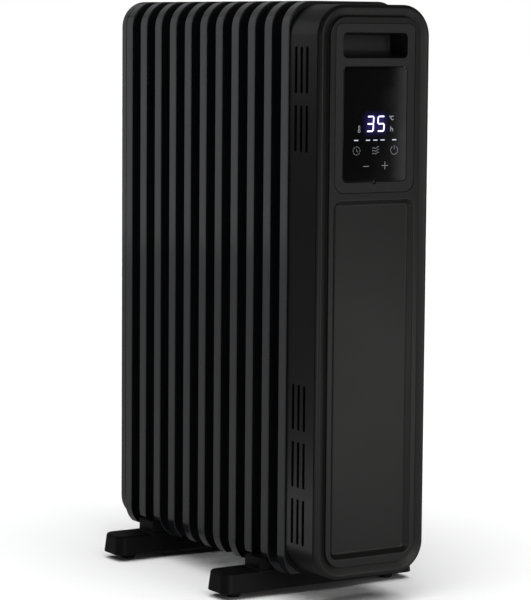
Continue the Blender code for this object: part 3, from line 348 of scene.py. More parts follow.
def makeScreenFinish(middleZ):
    # glossy black glass with faint wipe marks, and the light of the digits spreading inside it
    tree, shader, where = newFinish("screenGlass")
    smudge = grouped(tree, smudgeGroup, where, Scale=screen["smudge"], Spread=screen["spread"])
    fine = node(tree, "ShaderNodeTexNoise", Scale=screen["fineScale"], Detail=screen["fineDetail"],
                Roughness=screen["fineNoise"])
    tree.links.new(where, fine.inputs["Vector"])
    tree.links.new(blendColour(tree, smudge, screen["colour"], screen["wiped"]),
                   shader.inputs["Base Color"])
    marks = mathNode(tree, "MULTIPLY_ADD", smudge, screen["wipedRough"], screen["rough"])
    tree.links.new(mathNode(tree, "MULTIPLY_ADD", fine.outputs["Fac"], screen["fineRough"], marks),
                   shader.inputs["Roughness"])
    split = node(tree, "ShaderNodeSeparateXYZ")
    tree.links.new(where, split.inputs[0])
    squares = []
    for axis, ends, shift in (("X", screen["digitsX"], 0.0), ("Z", screen["digitsZ"], middleZ)):
        centre, half = (ends[0] + ends[1]) / 2 + shift, (ends[1] - ends[0]) / 2
        far = mathNode(tree, "ABSOLUTE", mathNode(tree, "SUBTRACT", split.outputs[axis], centre))
        beyond = mathNode(tree, "SUBTRACT", far, half * screen["glowFrom"])
        squares.append(mathNode(tree, "POWER", mathNode(tree, "MAXIMUM", beyond, 0.0), 2.0))
    distance = mathNode(tree, "SQRT", mathNode(tree, "ADD", *squares))
    away = mathNode(tree, "DIVIDE", distance, screen["glowReach"])
    halo = mathNode(tree, "POWER", mathNode(tree, "SUBTRACT", 1.0, away, clamp=True),
                    screen["glowFall"])
    tree.links.new(blendColour(tree, halo, screen["unlit"], screen["glow"]),
                   shader.inputs["Emission Color"])
    shader.inputs["Emission Strength"].default_value = screen["glowStrength"]


lightBox = dict(scale=140.0, detail=2.0, dimmer=0.78, body=(0.05, 0.05, 0.06, 1.0),
                bodyLight=(0.07, 0.07, 0.08, 1.0), change=0.1, rough=0.15)


def makeLitFinishes():
    # the segments and symbols, a little uneven because the light box behind them is
    for name, (colour, strength) in litRows.items():
        tree, shader, where = newFinish(name)
        uneven = node(tree, "ShaderNodeTexNoise", Scale=lightBox["scale"],
                      Detail=lightBox["detail"])
        tree.links.new(where, uneven.inputs["Vector"])
        level = uneven.outputs["Fac"]
        dimmer = tuple(lightBox["dimmer"] * c for c in colour)
        tree.links.new(blendColour(tree, level, (*dimmer, 1.0), (*colour, 1.0)),
                       shader.inputs["Emission Color"])
        tree.links.new(blendColour(tree, level, lightBox["body"], lightBox["bodyLight"]),
                       shader.inputs["Base Color"])
        tree.links.new(mathNode(tree, "MULTIPLY_ADD", level, lightBox["change"], lightBox["rough"]),
                       shader.inputs["Roughness"])
        shader.inputs["Emission Strength"].default_value = strength


glassBox = box("display_glass")
makeScreenFinish((glassBox[2] + glassBox[5]) / 2)
makeLitFinishes()
print("materials ready:", len(finishes))


# mesh helpers

def linkObject(name, mesh):
    made = bpy.data.objects.new(name, mesh)
    bpy.context.scene.collection.objects.link(made)
    return made


def settled(obj):
    # the object's shape with its modifiers carried out, as a plain mesh
    bpy.context.view_layer.update()
    graph = bpy.context.evaluated_depsgraph_get()
    return bpy.data.meshes.new_from_object(obj.evaluated_get(graph), depsgraph=graph)


def plainMesh(name, bm):
    mesh = bpy.data.meshes.new(name)
    bm.to_mesh(mesh)
    bm.free()
    return mesh


def meshOf(name, bm):
    # the same with its faces turned outwards
    bmesh.ops.recalc_face_normals(bm, faces=bm.faces[:])
    return plainMesh(name, bm)


def thickened(name, bm, sheet):
    # an open skin given the thickness of its sheet
    holder = linkObject(name, plainMesh(name, bm))
    wall = holder.modifiers.new("wall", "SOLIDIFY")
    wall.thickness = sheet
    wall.offset = -1.0
    wall.use_even_offset = True
    mesh = settled(holder)
    bpy.data.objects.remove(holder)
    return mesh


def finishPiece(name, mesh, finish, nodes, slot=None, body="radiator", sharp=32.0, weighted=True):
    mesh.shade_smooth()
    mesh.set_sharp_from_angle(angle=math.radians(sharp))
    mesh.materials.clear()
    mesh.materials.append(finishes[finish])
    if weighted:
        holder = linkObject(name + "_shading", mesh)
        even = holder.modifiers.new("even", "WEIGHTED_NORMAL")
        even.keep_sharp = True
        even.weight = 80
        mesh = settled(holder)
        bpy.data.objects.remove(holder)
    piece = linkObject(name, mesh)
    mesh.name = name
    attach(piece, body)
    if nodes:
        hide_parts(*nodes)
        slot = slot or frame["nodes"][nodes[0]].get("slot")
    return piece


def arc(inset, depth, radius, start, end, steps):
    # points of a quarter round or less in an edge profile, as (inset, depth)
    turns = [math.radians(start + (end - start) * i / steps) for i in range(steps + 1)]
    return [(inset + radius * math.cos(t), depth + radius * math.sin(t)) for t in turns]


def roundedLoop(half, low, top, corner, lowCorner=None, steps=14, notch=0.0, bulge=0.0):
    # x, z points round a rectangle with round corners, seen from the front; a notch or a bulge in
    # the middle of the bottom edge is a half circle
    lowCorner = corner if lowCorner is None else lowCorner
    points = []
    for cx, cz, radius, start in ((half - lowCorner, low + lowCorner, lowCorner, -90),
                                  (half - corner, top - corner, corner, 0),
                                  (corner - half, top - corner, corner, 90),
                                  (lowCorner - half, low + lowCorner, lowCorner, 180)):
        for i in range(steps + 1):
            t = math.radians(start + 90 * i / steps)
            points.append((cx + radius * math.cos(t), cz + radius * math.sin(t)))
    if notch or bulge:
        radius, side = (notch, 1) if notch else (bulge, -1)
        for i in range(13):
            t = math.pi - math.pi * i / 12
            points.append((radius * math.cos(t), low + side * radius * math.sin(t)))
    return points


def ease(t):
    # from 0 to 1 with a level start and end
    return t * t * (3 - 2 * t)


def middleOf(name):
    low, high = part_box(name)
    return (low + high) / 2


def outline(half, low, top, corner, lowCorner=None, steps=14, least=0.0006, **more):
    # a function that gives the same outline drawn in by an inset
    lowCorner = corner if lowCorner is None else lowCorner

    def at(inset):
        extra = {}
        if more.get("notch"):
            extra["notch"] = more["notch"] + inset
        if more.get("bulge"):
            extra["bulge"] = more["bulge"] - inset
        return roundedLoop(half - inset, low + inset, top - inset, max(corner - inset, least),
                           max(lowCorner - inset, least), steps, **extra)
    return at


def run(bm, shape, profile):
    # lofts an outline through the (inset, depth) points of a profile; gives first and last ring
    rings = []
    for inset, depth in profile:
        rings.append([bm.verts.new((x, back(depth), z)) for x, z in shape(inset)])
    for near, far in zip(rings, rings[1:]):
        bridge(bm, near, far)
    return rings[0], rings[-1]


def ringEdges(bm, ring):
    count = len(ring)
    found = []
    for i in range(count):
        pair = (ring[i], ring[(i + 1) % count])
        found.append(bm.edges.get(pair) or bm.edges.new(pair))
    return found


def fill(bm, *rings):
    # a flat face between rings that lie in one plane
    edges = [e for ring in rings for e in ringEdges(bm, ring)]
    bmesh.ops.triangle_fill(bm, use_beauty=True, edges=edges, normal=(0.0, -1.0, 0.0))


def cap(bm, ring):
    bm.faces.new(ring)


def bridge(bm, first, second):
    count = len(first)
    for i in range(count):
        j = (i + 1) % count
        bm.faces.new((first[i], first[j], second[j], second[i]))


def shifted(bm, move):
    bmesh.ops.translate(bm, verts=bm.verts[:], vec=move)


def lathe(profile, at=(0.0, 0.0, 0.0), axis="Z", steps=48):
    # a closed (radius, height) profile spun about an axis through a point
    bm = bmesh.new()
    rings = []
    for radius, height in profile:
        ring = []
        for i in range(steps):
            t = 2 * math.pi * i / steps
            x, y = radius * math.cos(t), radius * math.sin(t)
            ring.append(bm.verts.new((x, -height, y) if axis == "Y" else (x, y, height)))
        rings.append(ring)
    for near, far in zip(rings, rings[1:] + rings[:1]):
        bridge(bm, near, far)
    bmesh.ops.remove_doubles(bm, verts=bm.verts[:], dist=1e-6)
    bmesh.ops.dissolve_degenerate(bm, edges=bm.edges[:], dist=1e-7)
    bmesh.ops.delete(bm, geom=[e for e in bm.edges if not e.link_faces], context="EDGES")
    shifted(bm, at)
    return bm


def prism(bm, near, far):
    # a solid between two outlines with the same number of points
    near, far = ([bm.verts.new(p) for p in points] for points in (near, far))
    cap(bm, near)
    cap(bm, far)
    bridge(bm, near, far)


def tube(bm, rings):
    # rings of vertices joined up one after another, closed at both ends
    for near, far in zip(rings, rings[1:]):
        bridge(bm, near, far)
    cap(bm, rings[0])
    cap(bm, rings[-1])


def block(low, high, bevel=0.0, steps=4):
    bm = bmesh.new()
    low, high = Vector(low), Vector(high)
    bmesh.ops.create_cube(bm, size=1.0, matrix=Matrix.Translation((low + high) / 2)
                          @ Matrix.Diagonal((*(high - low), 1.0)))
    if bevel:
        bmesh.ops.bevel(bm, geom=bm.edges[:], offset=bevel, segments=steps, profile=0.5,
                        affect="EDGES")
    return bm


def rodMesh(radius, start, end, sides=32):
    start, end = Vector(start), Vector(end)
    bm = bmesh.new()
    turn = (end - start).to_track_quat("Z", "Y").to_matrix().to_4x4()
    bmesh.ops.create_cone(bm, cap_ends=True, segments=sides, radius1=radius, radius2=radius,
                          depth=(end - start).length,
                          matrix=Matrix.Translation((start + end) / 2) @ turn)
    return bm


def combine(name, base, joined=(), cut=()):
    # base mesh with others joined on and others cut away, carried out exactly
    holder = linkObject(name + "_base", base)
    helpers = []
    for operation, meshes in (("UNION", joined), ("DIFFERENCE", cut)):
        for mesh in meshes:
            helper = linkObject(name + "_tool", mesh)
            helpers.append(helper)
            change = holder.modifiers.new("change", "BOOLEAN")
            change.operation = operation
            change.solver = "EXACT"
            change.object = helper
    mesh = settled(holder)
    for helper in (holder, *helpers):
        bpy.data.objects.remove(helper)
    return mesh


# geometry nodes: one tree puts a part at every given point, one lays out the louvres

def newTree(name, inputs):
    tree = bpy.data.node_groups.new(name, "GeometryNodeTree")
    for label, kind in (("Geometry", "Geometry"), *inputs, ("Finish", "Material")):
        tree.interface.new_socket(label, in_out="INPUT", socket_type="NodeSocket" + kind)
    tree.interface.new_socket("Geometry", in_out="OUTPUT", socket_type="NodeSocketGeometry")
    return tree, tree.nodes.new("NodeGroupInput"), tree.links.new


def placeParts(tree, given, label, points):
    # the given part at every point, made real and painted, as the tree's result
    link = tree.links.new
    part = tree.nodes.new("GeometryNodeObjectInfo")
    link(given.outputs[label], part.inputs["Object"])
    spread = tree.nodes.new("GeometryNodeInstanceOnPoints")
    link(points, spread.inputs["Points"])
    link(part.outputs["Geometry"], spread.inputs["Instance"])
    real = tree.nodes.new("GeometryNodeRealizeInstances")
    link(spread.outputs["Instances"], real.inputs["Geometry"])
    paint = tree.nodes.new("GeometryNodeSetMaterial")
    link(real.outputs["Geometry"], paint.inputs["Geometry"])
    link(given.outputs["Finish"], paint.inputs["Material"])
    link(paint.outputs["Geometry"], tree.nodes.new("NodeGroupOutput").inputs["Geometry"])
    return spread


def makeAtPoints():
    tree, given, link = newTree("partsAtPoints", [("Part", "Object"), ("Size", "Float")])
    spread = placeParts(tree, given, "Part", given.outputs["Geometry"])
    link(given.outputs["Size"], spread.inputs["Scale"])
    return tree


def makeLouvreGrid():
    tree, given, link = newTree("louvreGrid", [
        ("Slot", "Object"), ("Columns", "Int"), ("Rows", "Int"), ("Column Pitch", "Float"),
        ("Row Pitch", "Float"), ("First", "Vector")])
    lines = []
    for count, pitch, axis in (("Columns", "Column Pitch", 1), ("Rows", "Row Pitch", 2)):
        step = tree.nodes.new("ShaderNodeCombineXYZ")
        link(given.outputs[pitch], step.inputs[axis])
        line = tree.nodes.new("GeometryNodeMeshLine")
        link(given.outputs[count], line.inputs["Count"])
        link(step.outputs[0], line.inputs["Offset"])
        lines.append(line)
    link(given.outputs["First"], lines[0].inputs["Start Location"])
    columns = tree.nodes.new("GeometryNodeInstanceOnPoints")
    link(lines[0].outputs["Mesh"], columns.inputs["Points"])
    link(lines[1].outputs["Mesh"], columns.inputs["Instance"])
    grid = tree.nodes.new("GeometryNodeRealizeInstances")
    link(columns.outputs["Instances"], grid.inputs["Geometry"])
    placeParts(tree, given, "Slot", grid.outputs["Geometry"])
    return tree


atPointsTree = makeAtPoints()
louvreTree = makeLouvreGrid()


def carryOut(name, tree, points, values):
    # runs a tree over the given points and gives its result as a plain mesh
    base = bpy.data.meshes.new(name)
    base.from_pydata([tuple(p) for p in points], [], [])
    holder = linkObject(name + "_tree", base)
    change = holder.modifiers.new("tree", "NODES")
    change.node_group = tree
    names = {item.name: item.identifier for item in tree.interface.items_tree
             if item.in_out == "INPUT"}
    for label, value in values.items():
        change[names[label]] = value
    mesh = settled(holder)
    bpy.data.objects.remove(holder)
    return mesh


def atPoints(name, part, points, finish):
    helper = linkObject(name + "_part", part)
    mesh = carryOut(name, atPointsTree, points,
                    {"Part": helper, "Size": 1.0, "Finish": finishes[finish]})
    bpy.data.objects.remove(helper)
    return mesh


# fins

fin = dict(fold=0.0011, foldSteps=6, cornerSteps=18, corner=0.029, base=0.0225, sheet=0.0009,
           flange=0.0135, flangeEnd=0.002, flangeStart=0.008, skin=0.0005, channelHalf=0.052,
           channelLow=0.066, channelTop=0.590, channelCorner=0.024, channelRise=0.0060,
           hubRadius=0.0165, bore=0.0150, hubLow=0.092, hubTop=0.5515, pitch=0.033, hubGap=0.0003)
roundSides = 48


def finTray(half, top, flangeBase, sheetBase):
    # the pressed sheet with its edge folded back, cut off flat below
    shape = outline(half, fin["base"], top, fin["corner"], steps=fin["cornerSteps"])
    fold = fin["fold"]
    profile = [(0.0, fin["flange"]), (0.0, fin["flange"] - fin["flangeEnd"]),
               (0.0, fin["flangeStart"])]
    profile += arc(fold, fold, fold, 180, 270, fin["foldSteps"])
    bm = bmesh.new()
    cap(bm, run(bm, shape, profile)[1])
    shifted(bm, (0.0, -frontY, 0.0))
    for height, drop in ((sheetBase, True), (flangeBase, False)):
        bmesh.ops.bisect_plane(bm, geom=bm.verts[:] + bm.edges[:] + bm.faces[:],
                               plane_co=(0, 0, height), plane_no=(0, 0, 1), clear_inner=drop,
                               dist=1e-7)
    loose = [f for f in bm.faces if f.calc_center_median().z < flangeBase
             and f.calc_center_median().y > fin["skin"]]
    bmesh.ops.delete(bm, geom=loose, context="FACES")
    bmesh.ops.recalc_face_normals(bm, faces=bm.faces[:])
    flat = min(bm.faces, key=lambda f: f.calc_center_median().y)
    if flat.normal.y > 0:
        bmesh.ops.reverse_faces(bm, faces=bm.faces[:])
    return thickened("finTray", bm, fin["sheet"])


def finChamber():
    # the oil chamber pressed out to both sides of the sheet
    shape = outline(fin["channelHalf"], fin["channelLow"], fin["channelTop"], fin["channelCorner"],
                    steps=10)
    rise = fin["channelRise"]
    middle = fin["sheet"] / 2
    profile = [(rise - rise * math.cos(t), middle - rise * math.sin(t))
               for t in (math.radians(90 - 180 * i / 16) for i in range(17))]
    bm = bmesh.new()
    first, last = run(bm, shape, profile)
    cap(bm, first)
    cap(bm, last)
    shifted(bm, (0.0, -frontY, 0.0))
    return meshOf("finChamber", bm)


def finMesh(finHalf, top, flangeBase, sheetBase):
    middle = fin["sheet"] / 2
    reach = fin["pitch"] / 2 - fin["hubGap"] / 2
    hubs, bores = [], []
    for height in (fin["hubLow"], fin["hubTop"]):
        for kind, radius, half, found in (("hub", fin["hubRadius"], reach, hubs),
                                          ("bore", fin["bore"], 1.2 * reach, bores)):
            rod = rodMesh(radius, (0, middle - half, height), (0, middle + half, height),
                          roundSides)
            found.append(meshOf(kind, rod))
    tray = finTray(finHalf, top, flangeBase, sheetBase)
    return combine("fin", tray, joined=[finChamber(), *hubs], cut=bores)


def makeFins():
    # three kinds: one hangs in front of each foot with its flange cut short over the neck, the
    # next one ends above the neck, and the others are free
    names = sorted(n for n in frame["nodes"] if n.startswith("fin_"))
    bases = {}
    kinds = {}
    for name in names:
        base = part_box(name)[0].z
        key = round(base, 4)
        kinds.setdefault(key, []).append(name)
        bases[key] = base
    first = box(names[0])
    half, top = first[3], first[5]
    sheetFront = {name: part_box(name)[0].y + (fin["pitch"] - fin["hubGap"]) / 2 - fin["sheet"] / 2
                  for name in names}
    neckSeat = max(bases.values())
    for key, members in kinds.items():
        sheetBase = bases[key]
        flangeBase = neckSeat if sheetBase < first[2] - mm else sheetBase
        mesh = finMesh(half, top, flangeBase, sheetBase)
        for name in members:
            placed = atPoints(name, mesh.copy(), [(0.0, sheetFront[name], 0.0)], "enamelBlack")
            finishPiece(name + "_sheet", placed, "enamelBlack", [name], "fin_paint", sharp=34.0)
    print("fins:", {key: len(members) for key, members in kinds.items()})


makeFins()

rear = dict(fold=0.0032, foldSteps=8, flat=0.002, sheet=0.0010, field=0.0165, step=0.0014,
            slope=0.0030, slopeSteps=8, corner=0.029, cornerSteps=18)


def makeRearPanel():
    # the closing sheet, its edge folded forward, with a shallow pressed field
    _, y0, low, half, y1, top = box("rear_panel")
    y0, y1 = y0 - frontY, y1 - frontY
    shape = outline(half, low, top, rear["corner"], steps=rear["cornerSteps"])
    fold, steps = rear["fold"], rear["slopeSteps"]
    profile = [(0.0, y0), (0.0, y1 - fold - rear["flat"])]
    profile += arc(fold, y1 - fold, fold, 180, 90, rear["foldSteps"])
    start, end = rear["field"], rear["field"] + rear["slope"]
    profile += [(start + (end - start) * i / steps, y1 - rear["step"] * ease(i / steps))
                for i in range(steps + 1)]
    bm = bmesh.new()
    cap(bm, run(bm, shape, profile)[1])
    bmesh.ops.recalc_face_normals(bm, faces=bm.faces[:])
    flat = max(bm.faces, key=lambda f: len(f.verts))
    if flat.normal.y < 0:
        bmesh.ops.reverse_faces(bm, faces=bm.faces[:])
    mesh = thickened("rearPanel", bm, rear["sheet"])
    finishPiece("rear_sheet", mesh, "enamelBlack", ["rear_panel"], "fin_paint", sharp=34.0)


makeRearPanel()
print("rear panel made")

# housing shell with its louvres

shell = dict(corner=0.0325, wall=0.0024, edge=0.0003, frontEdge=0.0009, lap=0.0002,
             cornerSteps=22, louvreWidth=0.0042, louvreLength=0.048, flare=0.00025,
             flareOut=0.0012, past=0.002, pitchZ=0.060, pitchS=0.01045, setback=0.0307,
             columns=3, lowRows=3, topRows=2, lowZ=0.0586, topZ=0.0672, switchSetback=0.0245,
             switchHalfS=0.0063, switchHalfZ=0.0100, gap=0.0003, reach=0.010, glandHole=0.0075)


def slotBar(half):
    # a bar with round ends, right across the housing, flared where it leaves each side
    width, length = shell["louvreWidth"] / 2, shell["louvreLength"] / 2
    flare, past, hair = shell["flare"], shell["past"], 0.01 * mm
    side = [(half + past, flare + shell["flareOut"]), (half + hair, flare), (half - flare, 0.0)]
    straight = length - width
    rings = []
    bm = bmesh.new()
    for x, grow in [(-x, grow) for x, grow in side] + side[::-1]:
        radius = width + grow
        ring = []
        for end, start in ((1, 0), (-1, 180)):
            for i in range(9):
                t = math.radians(start + 180 * i / 8)
                ring.append(bm.verts.new((x, radius * math.cos(t),
                                          end * straight + radius * math.sin(t))))
        rings.append(ring)
    tube(bm, rings)
    return meshOf("slotBar", bm)


def makeShell():
    _, y0, low, half, y1, top = box("housing_shell")
    s0, s1 = y0 - frontY, y1 - frontY + shell["lap"]
    shape = outline(half, low, top, shell["corner"], steps=shell["cornerSteps"])
    wall, edge, frontEdge = shell["wall"], shell["edge"], shell["frontEdge"]
    profile = [(wall, s0), (frontEdge, s0)]
    profile += arc(frontEdge, s0 + frontEdge, frontEdge, 270, 180, 5)[1:]
    profile += arc(edge, s1 - edge, edge, 180, 90, 3)
    profile += [(wall, s1)]
    bm = bmesh.new()
    first, last = run(bm, shape, profile)
    bridge(bm, last, first)
    body = meshOf("shell", bm)
    bar = linkObject("slotBarPart", slotBar(half))
    cutters = []
    rearS = s1 - shell["lap"]
    topZ = top - shell["topZ"] - (shell["topRows"] - 1) * shell["pitchZ"]
    for rows, z in ((shell["lowRows"], low + shell["lowZ"]), (shell["topRows"], topZ)):
        cutters.append(carryOut("louvres", louvreTree, [(0, 0, 0)], {
            "Slot": bar, "Columns": shell["columns"], "Rows": rows,
            "Column Pitch": shell["pitchS"], "Row Pitch": shell["pitchZ"],
            "First": (0.0, back(rearS - shell["setback"]), z),
            "Finish": finishes["housingPlastic"]}))
    bpy.data.objects.remove(bar)
    # holes for the mains switch and the cord gland
    reach, gap = shell["reach"], shell["gap"]
    switchY, switchZ = back(rearS - shell["switchSetback"]), (low + top) / 2
    halfS, halfZ = shell["switchHalfS"] + gap, shell["switchHalfZ"] + gap
    hole = block((half - reach, switchY - halfS, switchZ - halfZ),
                 (half + reach, switchY + halfS, switchZ + halfZ))
    cutters.append(meshOf("switchHole", hole))
    gx, gy, _ = middleOf("cord_gland")
    hole = rodMesh(shell["glandHole"], (gx, gy, low - reach), (gx, gy, low + reach), 40)
    cutters.append(meshOf("glandHole", hole))
    mesh = combine("shell", body, cut=cutters)
    finishPiece("housing_sleeve", mesh, "housingPlastic", ["housing_shell"], "shell_plastic")
    print("housing sleeve:", len(mesh.polygons), "faces")


makeShell()

# front panel: round rim, groove, seat for the control plate, sunk field

panel = dict(corner=0.0325, cornerSteps=22, rim=0.0045, rimRound=0.0037, rimFlat=1.36,
             rearEdge=0.0008, grooveAt=0.0042, grooveEnd=0.0128, grooveDepth=0.0033,
             grooveBend=1.12, grooveFoot=0.0004, grooveCut=0.3, islandLip=0.0006,
             roundSteps=12, seatDepth=0.0017, seatLip=0.0003, plateGap=0.0003,
             windowWide=0.0023, windowLow=0.0045, windowCorner=0.0046,
             fieldMargin=0.0187, fieldLow=0.0215, fieldTopGap=0.0079, fieldDepth=0.0055,
             fieldSlope=0.0048, fieldLip=0.0024, fieldFoot=0.0034, fieldCorner=0.0085,
             fieldLeast=0.0040, panWide=0.001, panEdge=0.0004, wall=0.0022, postInset=0.0119,
             postEnd=0.040, postRadius=0.0040, postFront=0.0040, postRear=0.0492)
plate = dict(topCorner=0.008, lowCorner=0.0115, thick=0.0014, edge=0.0004, mouthLip=0.0010,
             handleMargin=0.0094, handleDrop=0.0095, handleHeight=0.0254, handleCorner=0.0046,
             glassGap=0.0003, glassCorner=0.005, glassLip=0.00025, lens=0.0020)


def slopeProfile(depth, slope, lip, foot, steps=6):
    # from the flat down a slope to a floor, with a round lip and a round foot
    angle = math.atan2(depth, slope)
    lipReach, footReach = lip * math.tan(angle / 2), foot * math.tan(angle / 2)
    points = []
    for i in range(steps + 1):
        t = angle * i / steps
        points.append((-lipReach + lip * math.sin(t), lip - lip * math.cos(t)))
    for i in range(steps + 1):
        t = angle * (1 - i / steps)
        points.append((slope + footReach - foot * math.sin(t), depth - foot + foot * math.cos(t)))
    return points


def frontProfile():
    rim, rimRound = panel["rim"], panel["rimRound"]
    edge, foot, isle = panel["rearEdge"], panel["grooveFoot"], panel["islandLip"]
    start, end, deep = panel["grooveAt"], panel["grooveEnd"], panel["grooveDepth"]
    steps = panel["roundSteps"]
    profile = arc(edge, rim - edge, edge, 90, 180, 5)
    # the rim is a soft chamfer
    for i in range(steps + 1):
        t = math.radians(90 * i / steps)
        profile.append((rimRound * (1 - math.cos(t) ** panel["rimFlat"]),
                        rimRound * (1 - math.sin(t) ** panel["rimFlat"])))
    # the groove slopes down from the rim and ends at a steep wall
    for i in range(steps + 1):
        t = i / steps
        profile.append((start + (end - foot - start) * t, deep * t ** panel["grooveBend"]))
    cut = foot * panel["grooveCut"]
    return (profile + [(end - cut, deep - cut), (end, deep - foot)]
            + arc(end + isle, isle, isle, 180, 270, 5))


def makeFrontPanel():
    _, _, low, half, _, top = box("front_panel")
    plateBox = box("control_plate")
    rim, seatDepth = panel["rim"], panel["seatDepth"]
    bm = bmesh.new()
    shape = outline(half, low, top, panel["corner"], steps=panel["cornerSteps"])
    backRing, islandRing = run(bm, shape, frontProfile())
    # seat for the control plate, and the window behind it
    gap, lip, wide = panel["plateGap"], panel["seatLip"], panel["windowWide"]
    seat = outline(plateBox[3] + gap, plateBox[2] - gap, plateBox[5] + gap,
                   plate["topCorner"] + gap, plate["lowCorner"] + gap, steps=12)
    window = outline(plateBox[3] - plate["handleMargin"] + wide, glassBox[2] - panel["windowLow"],
                     plateBox[5] - plate["handleDrop"] + wide, panel["windowCorner"], steps=12)
    seatTop, seatFloor = run(bm, seat, [(-lip, 0.0), (0.0, lip), (0.0, seatDepth)])
    windowTop, windowBack = run(bm, window, [(0.0, seatDepth), (0.0, rim)])
    bridge(bm, seatFloor, windowTop)
    # sunk field
    fieldHalf, fieldLow = half - panel["fieldMargin"], low + panel["fieldLow"]
    fieldTop = plateBox[2] - panel["fieldTopGap"]
    field = outline(fieldHalf, fieldLow, fieldTop, panel["fieldCorner"],
                    least=panel["fieldLeast"])
    fieldRim, fieldFloor = run(bm, field, slopeProfile(
        panel["fieldDepth"], panel["fieldSlope"], panel["fieldLip"], panel["fieldFoot"]))
    fill(bm, islandRing, seatTop, fieldRim)
    cap(bm, fieldFloor)
    # the back: flat behind the rim, with a pan behind the sunk field
    wide, edge = panel["panWide"], panel["panEdge"]
    behind = panel["fieldDepth"] + panel["wall"]
    pan = outline(fieldHalf + wide, fieldLow - wide, fieldTop + wide, panel["fieldCorner"])
    panFront, panBack = run(bm, pan, [(0.0, rim), (0.0, behind - edge), (edge, behind)])
    cap(bm, panBack)
    fill(bm, backRing, windowBack, panFront)
    # screw posts
    whole = bmesh.new()
    whole.from_mesh(meshOf("frontPanel", bm))
    reachX = half - panel["postInset"]
    front, rearY = back(panel["postFront"]), back(panel["postRear"])
    for x in (-reachX, reachX):
        for z in (low + panel["postEnd"], top - panel["postEnd"]):
            post = rodMesh(panel["postRadius"], (x, front, z), (x, rearY, z), 24)
            whole.from_mesh(meshOf("post", post))
    mesh = meshOf("frontPanel", whole)
    finishPiece("front_moulding", mesh, "panelPlastic", ["front_panel"], "panel_plastic",
                sharp=40.0)
    print("front moulding:", len(mesh.polygons), "faces")


makeFrontPanel()


def makeControlPlate():
    _, _, low, half, _, top = box("control_plate")
    thick, edge, lip = plate["thick"], plate["edge"], plate["mouthLip"]
    gap, glassLip = plate["glassGap"], plate["glassLip"]
    bm = bmesh.new()
    shape = outline(half, low, top, plate["topCorner"], plate["lowCorner"])
    outerBack, outerFront = run(bm, shape, [(0.0, thick)] + arc(edge, edge, edge, 180, 270, 4))
    mouthTop, mouthHalf = top - plate["handleDrop"], half - plate["handleMargin"]
    mouthLow = mouthTop - plate["handleHeight"]
    mouth = outline(mouthHalf, mouthLow, mouthTop, plate["handleCorner"], steps=12)
    rolled = [(lip * math.sin(t) - lip, lip - lip * math.cos(t))
              for t in (math.radians(15 * i) for i in range(7))]
    mouthFront, mouthBack = run(bm, mouth, rolled + [(0.0, thick)])
    sight = outline(glassBox[3] + gap, glassBox[2] - gap, glassBox[5] + gap,
                    plate["glassCorner"] + gap, steps=12, bulge=plate["lens"] + gap)
    sightFront, sightBack = run(bm, sight, [(-glassLip, 0.0), (0.0, glassLip), (0.0, thick)])
    fill(bm, outerFront, mouthFront, sightFront)
    fill(bm, outerBack, mouthBack, sightBack)
    finishPiece("control_inlay", meshOf("controlPlate", bm), "platePlastic", ["control_plate"],
                "plate_plastic", sharp=40.0)
    makePocket(mouthHalf, mouthLow, mouthTop)


# the pocket behind the mouth: tight rounds at its back, but a long one up from its floor
cup = dict(depth=0.031, wall=0.002, gap=0.0003, round=0.0025, draft=0.0010, floorRise=0.0090,
           floorRun=0.0085, backSide=0.0015, backFloor=0.0060, backEdge=0.002, least=0.0012,
           turns=(10, 20, 30, 40, 48, 55, 61, 66, 70, 73, 76, 79, 82, 84.5, 87, 88.5, 90))


def makePocket(half, low, top):
    start, deep, out = plate["thick"] + cup["gap"], cup["depth"], -cup["wall"]
    floorRun = cup["floorRun"]

    def pocket(insets):
        side, floor = insets
        return roundedLoop(half - side, low + floor, top - side,
                           max(plate["handleCorner"] - side, cup["least"]), steps=12)

    def drawnIn(depth, rise, length):
        along = min(max((depth - deep + length) / length, 0.0), 1.0)
        draft = cup["draft"] * (depth - start) / (deep - start)
        return draft + rise * (1 - math.sqrt(1 - along ** 2))

    profile = [((cup["backSide"], cup["backFloor"]), deep + cup["wall"]),
               ((out, out), deep - cup["backEdge"]), ((out, out), start), ((0.0, 0.0), start)]
    depths = [start + (deep - floorRun - start) * i / 4 for i in range(1, 5)]
    depths += [deep - floorRun * math.cos(math.radians(a)) for a in cup["turns"]]
    profile += [((drawnIn(d, cup["round"], cup["round"]),
                  drawnIn(d, cup["floorRise"], floorRun)), d) for d in depths]
    bm = bmesh.new()
    outer, inner = run(bm, pocket, profile)
    cap(bm, outer)
    cap(bm, inner)
    finishPiece("handle_pocket", meshOf("handleCup", bm), "cupPlastic", ["handle_cup"],
                "cup_plastic", sharp=50.0)


makeControlPlate()
print("control plate and handle pocket made")

# display: the glass, and what it shows

glassPiece = dict(edge=0.0004, thick=0.0020, corner=0.005, lensRadius=0.0020, lensDome=0.0007)


